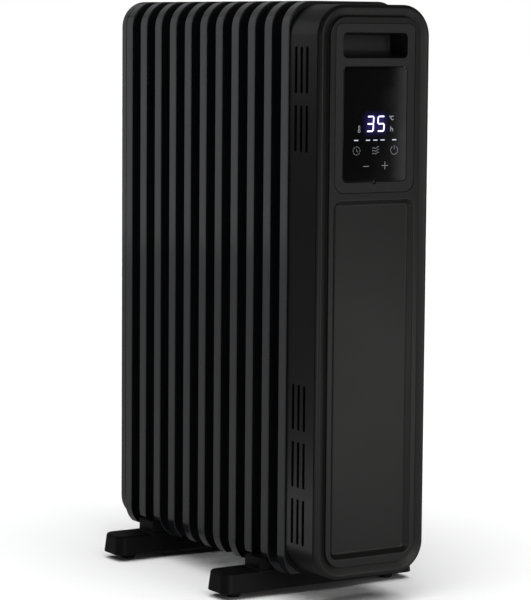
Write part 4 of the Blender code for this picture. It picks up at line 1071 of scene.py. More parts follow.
def makeGlass():
    _, y0, low, half, _, top = glassBox
    front, edge, radius = y0 - frontY, glassPiece["edge"], glassPiece["lensRadius"]
    bm = bmesh.new()
    shape = outline(half, low, top, glassPiece["corner"], steps=12,
                    notch=radius + plate["glassGap"])
    profile = [(0.0, front + glassPiece["thick"])]
    profile += arc(edge, front + edge, edge, 180, 270, 4)
    rearRing, frontRing = run(bm, shape, profile)
    cap(bm, rearRing)
    fill(bm, frontRing)
    finishPiece("touch_glass", meshOf("touchGlass", bm), "screenGlass", ["display_glass"],
                "display_glass", sharp=40.0)
    # the domed window of the receiver, in the notch under the glass
    _, y0, z0, _, y1, z1 = box("receiver_lens")
    dome = glassPiece["lensDome"]
    profile = [(0.0, 0.0)] + [(radius * math.sin(t), -dome * (1 - math.cos(t)))
                              for t in (math.radians(15 * i) for i in range(1, 7))]
    profile += [(radius, y0 - y1), (0.0, y0 - y1)]
    window = meshOf("receiverWindow", lathe(profile, (0.0, y0, (z0 + z1) / 2), "Y", 32))
    finishPiece("receiver_window", window, "screenGlass", ["receiver_lens"], "component_black",
                sharp=40.0)


makeGlass()

symbols = dict(front=0.00008, rear=0.00050, cut=0.10)


def stroke(bm, points, width, closed=False):
    # a flat bar of the given width along a line of x, z points, just proud of the glass
    count = len(points)
    sides = []
    for i, (x, z) in enumerate(points):
        before = points[i - 1] if (i or closed) else points[i]
        after = points[(i + 1) % count] if (i + 1 < count or closed) else points[i]
        dx, dz = after[0] - before[0], after[1] - before[1]
        size = math.hypot(dx, dz) or 1.0
        nx, nz = -dz / size * width / 2, dx / size * width / 2
        sides.append(((x + nx, z + nz), (x - nx, z - nz)))
    rows = []
    for depth in (symbols["front"], symbols["rear"]):
        rows.append([[bm.verts.new((x, back(depth), z)) for x, z in pair] for pair in sides])
    near, far = rows
    spans = range(count if closed else count - 1)
    for i in spans:
        j = (i + 1) % count
        bm.faces.new((near[i][0], near[j][0], near[j][1], near[i][1]))
        bm.faces.new((far[i][0], far[i][1], far[j][1], far[j][0]))
        bm.faces.new((near[i][0], far[i][0], far[j][0], near[j][0]))
        bm.faces.new((near[i][1], near[j][1], far[j][1], far[i][1]))
    if not closed:
        for i in (0, count - 1):
            bm.faces.new((near[i][0], near[i][1], far[i][1], far[i][0]))


def digit(bm, x, z, lit, width, height, thick, slant):
    # one seven-segment digit with pointed segments, its lower left corner at x, z
    gap, mid, h = thick * symbols["cut"], height / 2, thick / 2
    spots = {"a": (0, height, 1), "g": (0, mid, 1), "d": (0, 0, 1),
             "f": (0, mid, 0), "b": (width, mid, 0), "e": (0, 0, 0), "c": (width, 0, 0)}
    for name in lit:
        sx, sz, across = spots[name]
        length = width if across else mid
        along = [(gap, 0), (gap + h, h), (length - gap - h, h), (length - gap, 0),
                 (length - gap - h, -h), (gap + h, -h)]
        shape = []
        for a, b in along:
            px, pz = (sx + a, sz + b) if across else (sx + b, sz + a)
            shape.append((x + px + slant * (pz / height), z + pz))
        prism(bm, *([(px, back(symbols[side]), pz) for px, pz in shape]
                    for side in ("front", "rear")))


def circle(cx, cz, radius, start=0.0, end=360.0, steps=28):
    closed = abs(end - start) >= 360
    count = steps if closed else steps + 1
    return [(cx + radius * math.cos(math.radians(start + (end - start) * i / steps)),
             cz + radius * math.sin(math.radians(start + (end - start) * i / steps)))
            for i in range(count)]


def shown(name, bm, finish):
    finishPiece(name, meshOf(name, bm), finish, [], "display_glass", weighted=False)


# heights are measured up from the glass's lower edge
number = dict(width=0.0078, height=0.0150, thick=0.0015, slant=0.0009)
numberPlace = dict(low=0.0520, three=-0.0103, five=0.0030)
dashes = dict(at=(-0.0232, -0.0086, 0.0006, 0.0095, 0.0241), z=0.0428, half=0.0025, pen=0.0011)
units = dict(pen=0.00075, ringPen=0.0005, glassPen=0.0006, stemPen=0.0005,
             degree=(0.0188, 0.0667, 0.00075), letter=(0.0217, 0.0653, 0.0019),
             post=((0.0195, 0.0570), (0.0195, 0.0515)),
             arch=((0.0195, 0.0535), (0.0200, 0.0545), (0.0210, 0.0549), (0.0218, 0.0543),
                   (0.0221, 0.0532), (0.0221, 0.0515)),
             bulb=(-0.0197, 0.0522, 0.0012),
             stem=((-0.0204, 0.0532), (-0.0204, 0.0572), (-0.0200, 0.0577), (-0.0194, 0.0577),
                   (-0.0190, 0.0572), (-0.0190, 0.0532)))
touch = dict(z=0.0321, pen=0.00044, timerX=-0.0226, timerRadius=0.0042, timerParts=8, timerHalf=16,
             handUp=0.0017, handOut=0.0015, handDown=0.0014, waveX=0.0010, waveHalf=0.0042,
             waveRise=0.0016, waveSwing=0.0007, waveGap=0.0028, wavePoints=24, waveTurn=16,
             powerX=0.0242, powerRadius=0.0044, powerTop=0.0052, powerLow=0.0010)
marks = dict(pen=0.00055, lines=(((-0.0142, 0.0160), (-0.0072, 0.0160)),
                                 ((0.0088, 0.0164), (0.0168, 0.0164)),
                                 ((0.0128, 0.0124), (0.0128, 0.0160)),
                                 ((0.0128, 0.0168), (0.0128, 0.0204))))


def makeSymbols():
    low = glassBox[2]

    def raised(points):
        return [(x, low + z) for x, z in points]

    def ring(place, *more, **settings):
        x, z, radius = place
        return circle(x, low + z, radius, *more, **settings)

    bm = bmesh.new()
    for place, lit in (("three", "abgcd"), ("five", "afgcd")):
        digit(bm, numberPlace[place], low + numberPlace["low"], lit, **number)
    shown("shown_number", bm, "litDigits")
    bm = bmesh.new()
    for x in dashes["at"]:
        ends = raised([(x - dashes["half"], dashes["z"]), (x + dashes["half"], dashes["z"])])
        stroke(bm, ends, dashes["pen"])
    shown("shown_dashes", bm, "litDash")
    # degree sign with its letter, the hour sign, and a small thermometer
    bm = bmesh.new()
    stroke(bm, ring(units["degree"], steps=14), units["ringPen"], closed=True)
    stroke(bm, ring(units["letter"], 50, 310, 18), units["pen"])
    stroke(bm, raised(units["post"]), units["pen"])
    stroke(bm, raised(units["arch"]), units["pen"])
    stroke(bm, ring(units["bulb"], 125, 415, 18), units["glassPen"])
    stroke(bm, raised(units["stem"]), units["stemPen"])
    shown("shown_units", bm, "litUnit")
    # touch symbols: timer, heat, power
    bm = bmesh.new()
    x, z, pen = touch["timerX"], low + touch["z"], touch["pen"]
    for i in range(touch["timerParts"]):
        middle, half = 360 / touch["timerParts"] * i, touch["timerHalf"]
        stroke(bm, circle(x, z, touch["timerRadius"], middle - half, middle + half, 4), pen)
    hands = [(x, z + touch["handUp"]), (x, z), (x + touch["handOut"], z - touch["handDown"])]
    stroke(bm, hands, pen)
    x, reach, count = touch["waveX"], touch["waveHalf"], touch["wavePoints"]
    for shift in (-touch["waveGap"], 0.0, touch["waveGap"]):
        wave = [(x - reach + 2 * reach * i / count,
                 z + shift + touch["waveRise"] * (i / count - 0.5)
                 + touch["waveSwing"] * math.sin(math.pi * 2 * i / touch["waveTurn"]))
                for i in range(count + 1)]
        stroke(bm, wave, pen)
    x = touch["powerX"]
    stroke(bm, circle(x, z, touch["powerRadius"], 120, 420, 26), pen)
    stroke(bm, [(x, z + touch["powerTop"]), (x, z + touch["powerLow"])], pen)
    shown("shown_touch_symbols", bm, "dimSymbol")
    bm = bmesh.new()
    for line in marks["lines"]:
        stroke(bm, raised(line), marks["pen"])
    shown("shown_minus_plus", bm, "touchMark")


makeSymbols()
print("display made")

# end plate between the housing and the first fin, and its bent lower lip

endPlate = dict(corner=0.0325, cornerSteps=20, border=0.0125, windowLow=0.0325,
                windowTop=0.0248, edge=0.0003, grow=0.0012, widen=0.0004, lowPoints=40,
                bands=(0.003, 0.006), lipHeight=0.006, lipStart=-0.067, lipEnd=-0.018,
                outwards=0.0006, ripple=0.7, rippleTurns=38, upwards=0.0012, upTurns=23)


def makeEndPlate():
    _, y0, low, half, y1, top = box("end_plate")
    s0, s1 = y0 - frontY - endPlate["widen"] / 2, y1 - frontY + endPlate["widen"]
    edge, count = endPlate["edge"], endPlate["lowPoints"]
    half, top = half + endPlate["grow"], top + endPlate["grow"]
    base = outline(half, low, top, endPlate["corner"], steps=endPlate["cornerSteps"])

    def shape(inset):
        # with more points along the bottom edge, for the bends
        points = base(inset)
        a, b = points[-1], points[0]
        return points + [(a[0] + (b[0] - a[0]) * i / count, a[1]) for i in range(1, count)]

    window = outline(half - endPlate["border"], low + endPlate["windowLow"],
                     top - endPlate["windowTop"], endPlate["corner"] - endPlate["border"])
    bm = bmesh.new()
    run(bm, shape, [(edge, s1), (0.0, s1 - edge), (0.0, s0 + edge), (edge, s0)])
    inner = [run(bm, shape, [(inset, s) for inset in (edge, *endPlate["bands"])])[1]
             for s in (s0, s1)]
    for ring, windowRing in zip(inner, run(bm, window, [(0.0, s0), (0.0, s1)])):
        fill(bm, ring, windowRing)
    bmesh.ops.remove_doubles(bm, verts=bm.verts[:], dist=1e-6)
    start, end = endPlate["lipStart"], endPlate["lipEnd"]
    for vert in bm.verts:
        # the lip is bent to and fro where it hangs below the housing
        depth = max(0.0, 1.0 - (vert.co.z - low) / endPlate["lipHeight"])
        if depth and start < vert.co.x < end:
            along = (vert.co.x - start) / (end - start)
            bend = depth * math.sin(math.pi * along)
            ripple = 1 + endPlate["ripple"] * math.sin(endPlate["rippleTurns"] * along)
            rise = 0.5 + 0.5 * math.sin(endPlate["upTurns"] * along + 1.0)
            vert.co.y -= endPlate["outwards"] * bend * ripple
            vert.co.z += endPlate["upwards"] * bend * rise
    finishPiece("end_frame", meshOf("endFrame", bm), "blackSteel", ["end_plate"], "plate_steel")


makeEndPlate()
print("end frame made")

# feet

foot = dict(half=0.122, top=0.0289, base=0.0074, corner=0.0105, draft=0.0018, edge=0.0030,
            soleEdge=0.0008, neckOverhang=0.0066, neckDepth=0.034, neckTop=0.042,
            neckCorner=0.0016, neckSunk=0.004, neckEdge=0.0012, neckBack=0.0006, least=0.0005,
            wellHalf=0.036, wellWall=0.005, wellRoof=0.0045, wellPast=0.010, flare=0.0022,
            boltRadius=0.0025, boltHole=0.0028, padX=0.098, padHole=0.0033, padPast=0.005,
            padDeep=0.0076)


def bevelled(bm, edges, offset, steps):
    bmesh.ops.bevel(bm, geom=edges, offset=offset, segments=steps, profile=0.5, affect="EDGES")


def footBar(y0, y1):
    middle, height = (y0 + y1) / 2, foot["top"] - foot["base"]
    waist = foot["base"] + height / 2
    bm = bmesh.new()
    bmesh.ops.create_cube(bm, size=1.0, matrix=Matrix.Translation((0, middle, waist))
                          @ Matrix.Diagonal((2 * foot["half"], y1 - y0, height, 1.0)))
    uprights = [e for e in bm.edges if abs(e.verts[0].co.z - e.verts[1].co.z) > height / 2]
    bevelled(bm, uprights, foot["corner"], 12)
    for vert in bm.verts:
        if vert.co.z > waist:
            vert.co.x -= math.copysign(foot["draft"], vert.co.x)
            vert.co.y -= math.copysign(foot["draft"], vert.co.y - middle)
    for height, above, offset, steps in ((foot["top"], True, foot["edge"], 6),
                                         (foot["base"], False, foot["soleEdge"], 2)):
        flat = [e for e in bm.edges
                if all((v.co.z > height - 1e-6) if above else (v.co.z < height + 1e-6)
                       for v in e.verts)]
        bevelled(bm, flat, offset, steps)
    return meshOf("footBar", bm)


def footNeck(y0):
    # a neck with a flared foot, as a stack of rounded rectangles
    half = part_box("fin_01")[1].x + foot["neckOverhang"]
    n0, n1 = y0 + foot["draft"], y0 + foot["neckDepth"]
    flare, edge = foot["flare"], foot["neckEdge"]
    levels = [(foot["top"] - foot["neckSunk"], flare)]
    for t in (math.radians(15 * i) for i in range(7)):
        levels.append((foot["top"] + flare * (1 - math.cos(t)), flare * (1 - math.sin(t))))
    for t in (math.radians(22.5 * i) for i in range(5)):
        levels.append((foot["neckTop"] - edge + edge * math.sin(t), -edge * (1 - math.cos(t))))
    bm = bmesh.new()
    rings = []
    for z, grow in levels:
        halfY = (n1 - n0) / 2 + grow
        front = max((n0 + n1) / 2 - halfY, y0 + foot["neckBack"])
        rearY = (n0 + n1) / 2 + halfY
        halfY = (rearY - front) / 2
        ring = roundedLoop(half + grow, -halfY, halfY,
                           max(foot["neckCorner"] + grow, foot["least"]), steps=6)
        rings.append([bm.verts.new((x, (front + rearY) / 2 + y, z)) for x, y in ring])
    tube(bm, rings)
    return meshOf("neck", bm)


def makeFoot(name):
    _, y0, _, _, y1, _ = box(name)
    middle, base = (y0 + y1) / 2, foot["base"]
    roof = foot["top"] - foot["wellRoof"]
    inset = foot["draft"] + foot["wellWall"]
    cuts = [meshOf("well", block((-foot["wellHalf"], y0 + inset, base - foot["wellPast"]),
                                 (foot["wellHalf"], y1 - inset, roof)))]
    boltY = middleOf(name + "_u_bolt").y
    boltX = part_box(name + "_u_bolt")[1].x - foot["boltRadius"]
    for side in (-1, 1):
        for kind, radius, x, y, low, high, sides in (
                ("boltHole", foot["boltHole"], boltX, boltY, base,
                 foot["neckTop"] + foot["wellPast"], 28),
                ("padHole", foot["padHole"], foot["padX"], middle, base - foot["padPast"],
                 base + foot["padDeep"], 24)):
            hole = rodMesh(radius, (side * x, y, low), (side * x, y, high), sides)
            cuts.append(meshOf(kind, hole))
    mesh = combine(name, footBar(y0, y1), joined=[footNeck(y0)], cut=cuts)
    finishPiece(name + "_moulding", mesh, "footPlastic", [name], "foot_plastic", sharp=38.0)
    return middle, boltY, boltX, roof


# half sections, as radius and height
padSection = [(0.0, 0.0144), (0.0030, 0.0144), (0.0030, 0.0071), (0.0096, 0.0071),
              (0.0100, 0.0067), (0.0100, 0.0058), (0.0096, 0.0054), (0.0091, 0.0048),
              (0.0090, 0.0042), (0.0086, 0.0036), (0.0080, 0.0028), (0.0079, 0.0022),
              (0.0074, 0.0015), (0.0068, 0.0008), (0.0064, 0.0002), (0.0060, 0.0),
              (0.0040, 0.0), (0.0036, 0.0004), (0.0, 0.0004)]
nutSection = [(0.0028, 0.0), (0.0046, 0.0), (0.0050, -0.0005), (0.0047, -0.0055),
              (0.0042, -0.0060), (0.0028, -0.0060)]
# a wing's outline, outwards and up
wing = dict(half=0.0009, outline=[(0.0042, -0.0010), (0.0085, -0.0018), (0.0112, -0.0016),
                                  (0.0124, -0.0028), (0.0123, -0.0050), (0.0108, -0.0071),
                                  (0.0085, -0.0074), (0.0042, -0.0058)])
uBolt = dict(threadTop=0.040, threadDeep=0.00016, threadPitch=0.0008, step=0.0002, bendSteps=24,
             sides=16)


def padPart():
    # a rubber pad with two shallow ribs round it and a dished sole, its stem in the foot
    return meshOf("pad", lathe(padSection, steps=40))


def wingNutPart():
    # round nut with two thin wings that rise outwards, seated at z = 0
    bm = lathe(nutSection, steps=32)
    for side in (-1, 1):
        prism(bm, *([(side * x, y, z) for x, z in wing["outline"]]
                    for y in (-wing["half"], wing["half"])))
    return meshOf("wingNut", bm)


def boltPart(boltX, drop):
    # round bar bent to a U, with a shallow screw thread on both legs
    step, turns, sides = uBolt["step"], uBolt["bendSteps"], uBolt["sides"]
    radius, threadTop = foot["boltRadius"], uBolt["threadTop"] - fin["hubLow"]
    legPoints = range(int(-drop / step) + 1)
    path = [(Vector((-boltX, 0, drop + step * i)), Vector((0, 0, 1))) for i in legPoints]
    for i in range(1, turns):
        t = math.pi * i / turns
        path.append((Vector((-boltX * math.cos(t), 0, boltX * math.sin(t))),
                     Vector((math.sin(t), 0, math.cos(t)))))
    path += [(Vector((boltX, 0, -step * i)), Vector((0, 0, -1))) for i in legPoints]
    bm = bmesh.new()
    rings = []
    side = Vector((0, 1, 0))
    for centre, ahead in path:
        across = side.cross(ahead)
        ring = []
        for k in range(sides):
            t = 2 * math.pi * k / sides
            size = radius
            if centre.z < threadTop:
                turned = t + 2 * math.pi * centre.z / uBolt["threadPitch"]
                size -= uBolt["threadDeep"] * (1 + math.sin(turned))
            ring.append(bm.verts.new(centre + across * size * math.cos(t)
                                     + side * size * math.sin(t)))
        rings.append(ring)
    tube(bm, rings)
    return meshOf("uBolt", bm)


def repeated(name, part, points, finish, nodes, slot):
    # one piece made of the same part at every point
    finishPiece(name, atPoints(name + "_all", part, points, finish), finish, nodes, slot)


def makeFeet():
    pads, nuts, bolts = [], [], []
    for name in ("foot_front", "foot_rear"):
        middle, boltY, boltX, roof = makeFoot(name)
        for side in (-1, 1):
            pads.append((side * foot["padX"], middle, 0.0))
            nuts.append((side * boltX, boltY, roof - fin["hubGap"]))
        bolts.append((0.0, boltY, fin["hubLow"]))
    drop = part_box("foot_front_u_bolt")[0].z - fin["hubLow"]
    for name, part, points, finish, mark, slot in (
            ("foot_pads", padPart(), pads, "rubberBlack", "_pad_", "pad_rubber"),
            ("wing_nuts", wingNutPart(), nuts, "zincSteel", "_wing_nut_", "bright_steel"),
            ("u_bolts", boltPart(boltX, drop), bolts, "zincSteel", "_u_bolt", "bright_steel")):
        nodes = [n for n in frame["nodes"] if mark in n]
        repeated(name, part, points, finish, nodes, slot)


makeFeet()
print("feet made")

# mains switch: a bezel with a round-edged lip and a curved rocker with its two marks

switch = dict(bezel=0.0016, bezelEdge=0.0006, bodyBack=0.0008, bodyEdge=0.0003, wall=0.0011,
              halfS=0.0063, halfZ=0.0100, well=0.0125, sunk=0.0035, past=0.01, pinHole=0.0014,
              pin=0.0011, pinHalf=0.0060, rockerGap=0.0004, rockerHalf=0.0078, rockerOut=0.0042,
              rockerIn=0.0025, rockerEdge=0.0004, rockerSteps=18, tilt=9.0, dish=0.0009,
              sharpTurn=0.9, markZ=0.0045, markOut=0.00006, markThick=0.0004,
              barHalf=(0.0002, 0.0013), ringRadius=(0.0010, 0.0013), ringTurn=101.0)


def makeBezel(pivot, face, low, high):
    wall, past = switch["wall"], switch["past"]

    def middleBlock(x0, x1, inset, *more):
        halfS, halfZ = switch["halfS"] - inset, switch["halfZ"] - inset
        return block((x0, pivot.y - halfS, pivot.z - halfZ),
                     (x1, pivot.y + halfS, pivot.z + halfZ), *more)

    bezel = block((face - switch["bezel"], low.y, low.z), (face, high.y, high.z),
                  switch["bezelEdge"], 4)
    body = middleBlock(low.x, face - switch["bodyBack"], 0.0, switch["bodyEdge"], 2)
    well = middleBlock(face - switch["well"], face + past, wall)
    across = Vector((0, 2 * past, 0))
    pin = rodMesh(switch["pinHole"], pivot - across, pivot + across, 24)
    return combine("bezel", meshOf("bezel", bezel), joined=[meshOf("body", body)],
                   cut=[meshOf("well", well), meshOf("pin", pin)])


def rockerFace(z):
    # the rocker's face is dished between its two ends
    return switch["rockerOut"] - switch["dish"] * (1 - (z / switch["rockerHalf"]) ** 2)


def makeRocker(pivot, place):
    half, steps = switch["rockerHalf"], switch["rockerSteps"]
    halfS = switch["halfS"] - switch["wall"] - switch["rockerGap"]
    heights = [-half + 2 * half * i / steps for i in range(steps + 1)]
    profile = [(rockerFace(z), z) for z in heights]
    profile += [(-switch["rockerIn"], half), (-switch["rockerIn"], -half)]
    bm = bmesh.new()
    sides = [[bm.verts.new((x, y, z)) for x, z in profile] for y in (-halfS, halfS)]
    bridge(bm, *sides)
    cap(bm, sides[0])
    cap(bm, sides[1])
    bmesh.ops.recalc_face_normals(bm, faces=bm.faces[:])
    rims = [e for e in bm.edges
            if len(e.link_faces) == 2 and e.calc_face_angle() > switch["sharpTurn"]]
    bevelled(bm, rims, switch["rockerEdge"], 3)
    bmesh.ops.transform(bm, matrix=place, verts=bm.verts[:])
    rocker = meshOf("rocker", bm)
    across = Vector((0, switch["pinHalf"], 0))
    pins = meshOf("pins", rodMesh(switch["pin"], pivot - across, pivot + across, 24))
    return combine("rocker", rocker, joined=[pins])


def rockerMarks(place):
    # a bar for on, a ring for off; they glow with the emissive touchMark finish, a painted glow
    # standing in for light grey printed marks
    bm = bmesh.new()
    thick, (halfS, halfZ), (inner, outer) = (switch[k] for k in
                                             ("markThick", "barHalf", "ringRadius"))
    for kind, z in (("bar", switch["markZ"]), ("ring", -switch["markZ"])):
        x = rockerFace(z) + switch["markOut"]
        if kind == "bar":
            part = block((x - thick, -halfS, z - halfZ), (x, halfS, z + halfZ))
        else:
            part = lathe([(inner, 0.0), (outer, 0.0), (outer, -thick), (inner, -thick)], steps=28)
            turn = Matrix.Rotation(math.radians(switch["ringTurn"]), 4, "Y")
            bmesh.ops.transform(part, matrix=Matrix.Translation((x, 0, z)) @ turn,
                                verts=part.verts[:])
        bm.from_mesh(meshOf(kind, part))
    bmesh.ops.transform(bm, matrix=place, verts=bm.verts[:])
    return meshOf("rockerMarks", bm)


def makeSwitch():
    low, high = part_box("switch_frame")
    face = high.x
    pivot = Vector((face - switch["sunk"], (low.y + high.y) / 2, (low.z + high.z) / 2))
    place = Matrix.Translation(pivot) @ Matrix.Rotation(math.radians(switch["tilt"]), 4, "Y")
    finishPiece("switch_bezel", makeBezel(pivot, face, low, high), "switchPlastic",
                ["switch_frame"], "component_black")
    finishPiece("rocker_cap", makeRocker(pivot, place), "switchPlastic", ["switch_rocker"],
                "component_black", body="rocker")
    # the rocker marks take the emissive touchMark finish: their light grey is a painted glow, not
    # lamp light
    finishPiece("rocker_marks", rockerMarks(place), "touchMark", [], "component_black",
                body="rocker", weighted=False)


makeSwitch()

gland = dict(neck=0.0072, bore=0.0040, lip=0.0007, lipHeight=0.0008, collar=0.003, flared=0.004,
             # the outside, from the flange's top down to its seat, then below the housing's floor,
             # as radius (less than the flange's) and height
             flange=0.0100,
             upper=((-0.0016, 0.0), (-0.0007, -0.0005), (0.0, -0.0024), (0.0, -0.003)),
             lower=((-0.0004, 0.0), (0.0, -0.0005), (-0.0004, -0.0014), (-0.0012, -0.0018),
                    (-0.0012, -0.0022), (-0.0009, -0.0026), (-0.0016, -0.0034)), foot=0.0028)


def makeGland():
    x, y, _ = middleOf("cord_gland")
    _, _, z0, _, _, z1 = box("cord_gland")
    flange, neck, bore = gland["flange"], gland["neck"], gland["bore"]
    lip, lipHeight, under = gland["lip"], gland["lipHeight"], z0 + gland["flared"]
    profile = [(flange + grow, z1 + drop) for grow, drop in gland["upper"]]
    profile += [(neck, z1 - gland["collar"]), (neck, under)]
    profile += [(flange + grow, under + drop) for grow, drop in gland["lower"]]
    profile += [(flange - gland["foot"], z0), (bore + lip, z0), (bore, z0 + lipHeight),
                (bore, z1 - lipHeight), (bore + lip, z1)]
    finishPiece("cord_grommet", meshOf("gland", lathe(profile, (x, y, 0.0), steps=56)),
                "rubberBlack", ["cord_gland"], "seal_rubber")


makeGland()

screw = dict(radius=0.0033, rise=0.0018, rim=0.0002, domeWide=0.99, domeFlat=0.6,
             domeTurns=(25, 45, 60, 72, 82), shank=0.0015, threadDeep=0.00035, length=0.012,
             threadEnd=0.002, turns=30, tip=0.0003, recessHalf=0.0019, recessWide=0.00035,
             recessFrom=0.35, recessTo=1.4)


def screwPart():
    # pan head with a cross recess and a threaded shank, head seat at y = 0, shank to the front
    radius, rise, turns = screw["radius"], screw["rise"], screw["turns"]
    profile = [(0.0, -rise)]
    for t in (math.radians(a) for a in screw["domeTurns"]):
        profile.append((radius * math.sin(t) * screw["domeWide"],
                        -rise * math.cos(t) ** screw["domeFlat"]))
    profile += [(radius, -screw["rim"]), (radius, 0.0)]
    for i in range(turns):
        wide = screw["shank"] if i % 2 else screw["shank"] - screw["threadDeep"]
        profile.append((wide, (screw["length"] - screw["threadEnd"]) * i / turns))
    profile += [(screw["tip"], screw["length"]), (0.0, screw["length"])]
    body = meshOf("screw", lathe(profile, axis="Y", steps=32))
    near, far = rise * screw["recessFrom"], rise * screw["recessTo"]
    bars = [meshOf("bar", block((-x, near, -z), (x, far, z)))
            for x, z in ((screw["recessHalf"], screw["recessWide"]),
                         (screw["recessWide"], screw["recessHalf"]))]
    return combine("screw", body, cut=bars)


def makeScrews():
    nodes = [n for n in frame["nodes"] if n.startswith("housing_screw")]
    points = []
    for n in nodes:
        middle = middleOf(n)
        points.append((middle.x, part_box(n)[1].y - screw["rise"], middle.z))
    repeated("housing_screws", screwPart(), points, "zincSteel", nodes, "bright_steel")


makeScrews()
print("small parts made")

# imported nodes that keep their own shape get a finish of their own

keptFinishes = {
    "circuitBoard": ("display_board", "power_board"),
    "componentBlack": ("digit_module", "relay_1", "relay_2", "terminal_block", "thermal_cutout",
                       "room_sensor", "tilt_switch_case"),
    "windingTape": ("transformer",),
    "brownWire": ("wire_live",),
    "blueWire": ("wire_neutral",),
    "zincSteel": ("heat_shield", "element_flange", "filler_plug", "heating_element_lower",
                  "heating_element_upper", "tilt_pendulum"),
    "blackSteel": ("header_plug_lower", "header_plug_upper"),
    "rubberBlack": ("element_gasket",),
}
for finish, names in keptFinishes.items():
    for name in names:
        for slotRow in frame["nodes"][name].material_slots:
            slotRow.material = finishes[finish]
print("packed nodes finished:", sum(len(names) for names in keptFinishes.values()))

# stage: pale floor, soft light, camera

stage = dict(floorSize=80.0, floorLit=(0.95, 0.95, 0.95, 1.0), near=(0.22, 0.22, 0.224, 1.0),
             far=(0.035, 0.035, 0.036, 1.0), nearReach=0.5, farReach=9.0, rough=0.9, specular=0.1)


def makeFloor():
    # pale all over; what the object reflects of it is a pool of light that fades with distance
    bm = bmesh.new()
    bmesh.ops.create_grid(bm, x_segments=1, y_segments=1, size=stage["floorSize"] / 2)
    mesh = plainMesh("floor", bm)
    tree, shader, where = newFinish("paleFloor")
    length = node(tree, "ShaderNodeVectorMath", {"operation": "LENGTH"})
    tree.links.new(where, length.inputs[0])
    fade = node(tree, "ShaderNodeMapRange", {"interpolation_type": "SMOOTHERSTEP"})
    fade.inputs["From Min"].default_value = stage["nearReach"]
    fade.inputs["From Max"].default_value = stage["farReach"]
    tree.links.new(length.outputs["Value"], fade.inputs["Value"])
    pool = blendColour(tree, fade.outputs["Result"], stage["near"], stage["far"])
    path = tree.nodes.new("ShaderNodeLightPath")
    tree.links.new(blendColour(tree, path.outputs["Is Camera Ray"], pool, stage["floorLit"]),
                   shader.inputs["Base Color"])
    shader.inputs["Roughness"].default_value = stage["rough"]
    shader.inputs["Specular IOR Level"].default_value = stage["specular"]
    mesh.materials.append(finishes["paleFloor"])
    linkObject("floor", mesh)


makeFloor()

lights = {
    # at and aim, size (an angle for the sun), power, colour, and the finishes it lights if not all
    "floorLight": dict(kind="SUN", at=(-0.5, -0.8, 3.0), aim=(0.0, 0.0, 0.0), size=80.0, power=3.6,
                       colour=(1.0, 1.0, 1.0), only=("paleFloor",)),
    "key": dict(kind="AREA", at=(0.35, -3.6, 1.05), aim=(0.0, -0.2, 0.35), size=(1.5, 1.5),
                power=22.0, colour=(1.0, 0.985, 0.965)),
    "leftPanel": dict(kind="AREA", at=(-2.35, 3.5, 1.2), aim=(-0.07, 0.0, 0.5), size=(1.8, 2.6),
                      power=7.0, colour=(0.94, 0.97, 1.0), only=("enamelBlack",)),
    "leftTop": dict(kind="AREA", at=(-2.0, 3.1, 2.5), aim=(-0.07, 0.0, 0.5), size=(1.4, 0.5),
                    power=1.2, colour=(0.94, 0.97, 1.0), only=("enamelBlack",)),
    "foldEdge": dict(kind="AREA", at=(-3.2, -0.3, 0.9), aim=(-0.07, 0.0, 0.4), size=(3.0, 2.2),
                     power=20.0, colour=(0.92, 0.96, 1.0), only=("enamelBlack",)),
    "sideTop": dict(kind="AREA", at=(-0.35, 0.24, 0.72), aim=(-0.07, -0.17, 0.54), size=(0.3, 0.3),
                    power=0.27, colour=(1.0, 1.0, 1.0), only=("housingPlastic", "blackSteel")),
    "sideLow": dict(kind="AREA", at=(-0.30, 0.08, 0.02), aim=(-0.07, -0.17, 0.12),
                    size=(0.25, 0.06), power=0.115, colour=(1.0, 1.0, 1.0),
                    only=("housingPlastic", "blackSteel")),
    "frontLow": dict(kind="AREA", at=(0.34, -0.70, 0.14), aim=(0.0, -0.2, 0.2), size=(0.25, 0.25),
                     power=0.27, colour=(1.0, 0.99, 0.97), only=("panelPlastic",)),
    "rimLow": dict(kind="AREA", at=(-0.54, -0.53, 0.18), aim=(-0.066, -0.2, 0.25),
                   size=(0.15, 0.3), power=0.34, colour=(1.0, 0.99, 0.97), only=("panelPlastic",)),
    "rearFill": dict(kind="AREA", at=(0.5, 3.0, 3.2), aim=(0.0, 0.1, 0.3), size=(4.0, 3.0),
                     power=10.0, colour=(1.0, 1.0, 1.0)),
    "rightFill": dict(kind="AREA", at=(3.4, -0.9, 1.6), aim=(0.0, 0.0, 0.3), size=(3.0, 3.0),
                      power=24.0, colour=(1.0, 1.0, 1.0),
                      only=("enamelBlack", "housingPlastic", "blackSteel", "footPlastic",
                            "switchPlastic")),
    "rightLow": dict(kind="AREA", at=(2.885, -3.5, 0.25), aim=(0.0, -0.2, 0.5), size=(0.9, 0.9),
                     power=2.3, colour=(1.0, 1.0, 1.0), only=("screenGlass",)),
}


def litOnly(name, finishNames):
    # a collection of the pieces that one lamp lights
    group = bpy.data.collections.new(name + "Lights")
    for obj in bpy.context.scene.objects:
        if obj.type == "MESH" and any(s.material and s.material.name in finishNames
                                      for s in obj.material_slots):
            group.objects.link(obj)
    return group


def makeLights():
    # the small lamps near the housing give its faces their soft falls of light, each on its own
    # finish
    for name, row in lights.items():
        lamp = bpy.data.lights.new(name, row["kind"])
        lamp.energy = row["power"]
        lamp.color = row["colour"]
        if row["kind"] == "SUN":
            lamp.angle = math.radians(row["size"])
        else:
            lamp.shape = "RECTANGLE"
            lamp.size, lamp.size_y = row["size"]
        obj = bpy.data.objects.new(name, lamp)
        bpy.context.scene.collection.objects.link(obj)
        obj.location = row["at"]
        aim = Vector(row["aim"]) - Vector(row["at"])
        obj.rotation_euler = aim.to_track_quat("-Z", "Y").to_euler()
        obj.visible_camera = False
        if "only" in row:
            obj.light_linking.receiver_collection = litOnly(name, row["only"])


makeLights()

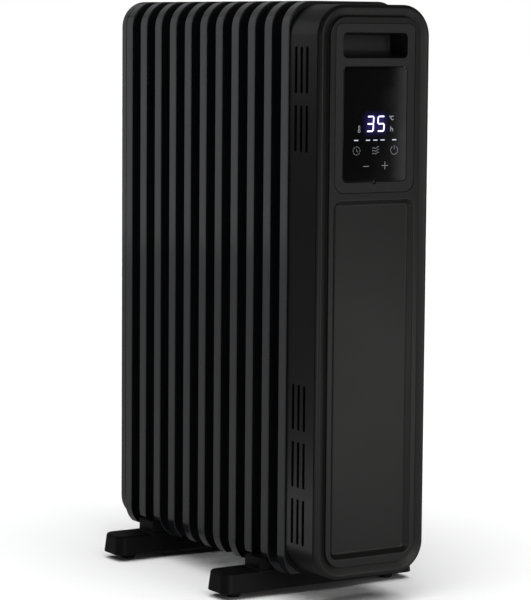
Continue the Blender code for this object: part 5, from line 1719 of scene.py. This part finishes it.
room = dict(backdrop=(1.0, 1.0, 1.0, 1.0), high=(0.06, 0.06, 0.063, 1.0),
            low=(0.02, 0.02, 0.021, 1.0), rise=1.1, riseFrom=0.05,
            behind=(0.07, 0.07, 0.073, 1.0), behindReach=0.7)


def makeRoom():
    # white behind the object, and a darker room with a lighter ceiling and far corner to reflect
    world = bpy.data.worlds.new("room")
    world.use_nodes = True
    bpy.context.scene.world = world
    tree = world.node_tree
    shade = tree.nodes["Background"]
    where = tree.nodes.new("ShaderNodeTexCoord")
    split = node(tree, "ShaderNodeSeparateXYZ")
    tree.links.new(where.outputs["Generated"], split.inputs[0])
    height = mathNode(tree, "MULTIPLY_ADD", split.outputs["Z"], room["rise"], room["riseFrom"],
                      clamp=True)
    walls = blendColour(tree, height, room["low"], room["high"])
    corner = mathNode(tree, "ADD", split.outputs["X"], split.outputs["Y"])
    corner = mathNode(tree, "MULTIPLY", corner, room["behindReach"], clamp=True)
    walls = blendColour(tree, mathNode(tree, "POWER", corner, 2.0), walls, room["behind"])
    path = tree.nodes.new("ShaderNodeLightPath")
    tree.links.new(blendColour(tree, path.outputs["Is Camera Ray"], walls, room["backdrop"]),
                   shade.inputs["Color"])


makeRoom()

camera = dict(at=(-1.4975, -2.3896, 0.6027), yaw=32.04, pitch=6.06, roll=0.46, lens=154.31,
              sensor=36.0)


def makeCamera():
    yaw, pitch, roll = (math.radians(camera[k]) for k in ("yaw", "pitch", "roll"))
    ahead = Vector((math.sin(yaw) * math.cos(pitch), math.cos(yaw) * math.cos(pitch),
                    -math.sin(pitch)))
    right = Vector((math.cos(yaw), -math.sin(yaw), 0.0))
    up = right.cross(ahead)
    turnedRight = right * math.cos(roll) + up * math.sin(roll)
    turnedUp = up * math.cos(roll) - right * math.sin(roll)
    lens = bpy.data.cameras.new("camera")
    lens.lens = camera["lens"]
    lens.sensor_width = camera["sensor"]
    obj = bpy.data.objects.new("camera", lens)
    bpy.context.scene.collection.objects.link(obj)
    turn = Matrix((turnedRight, turnedUp, -ahead)).transposed().to_4x4()
    obj.matrix_world = Matrix.Translation(camera["at"]) @ turn
    bpy.context.scene.camera = obj


makeCamera()
bpy.context.scene.view_settings.view_transform = "Standard"
bpy.context.scene.view_settings.look = "None"
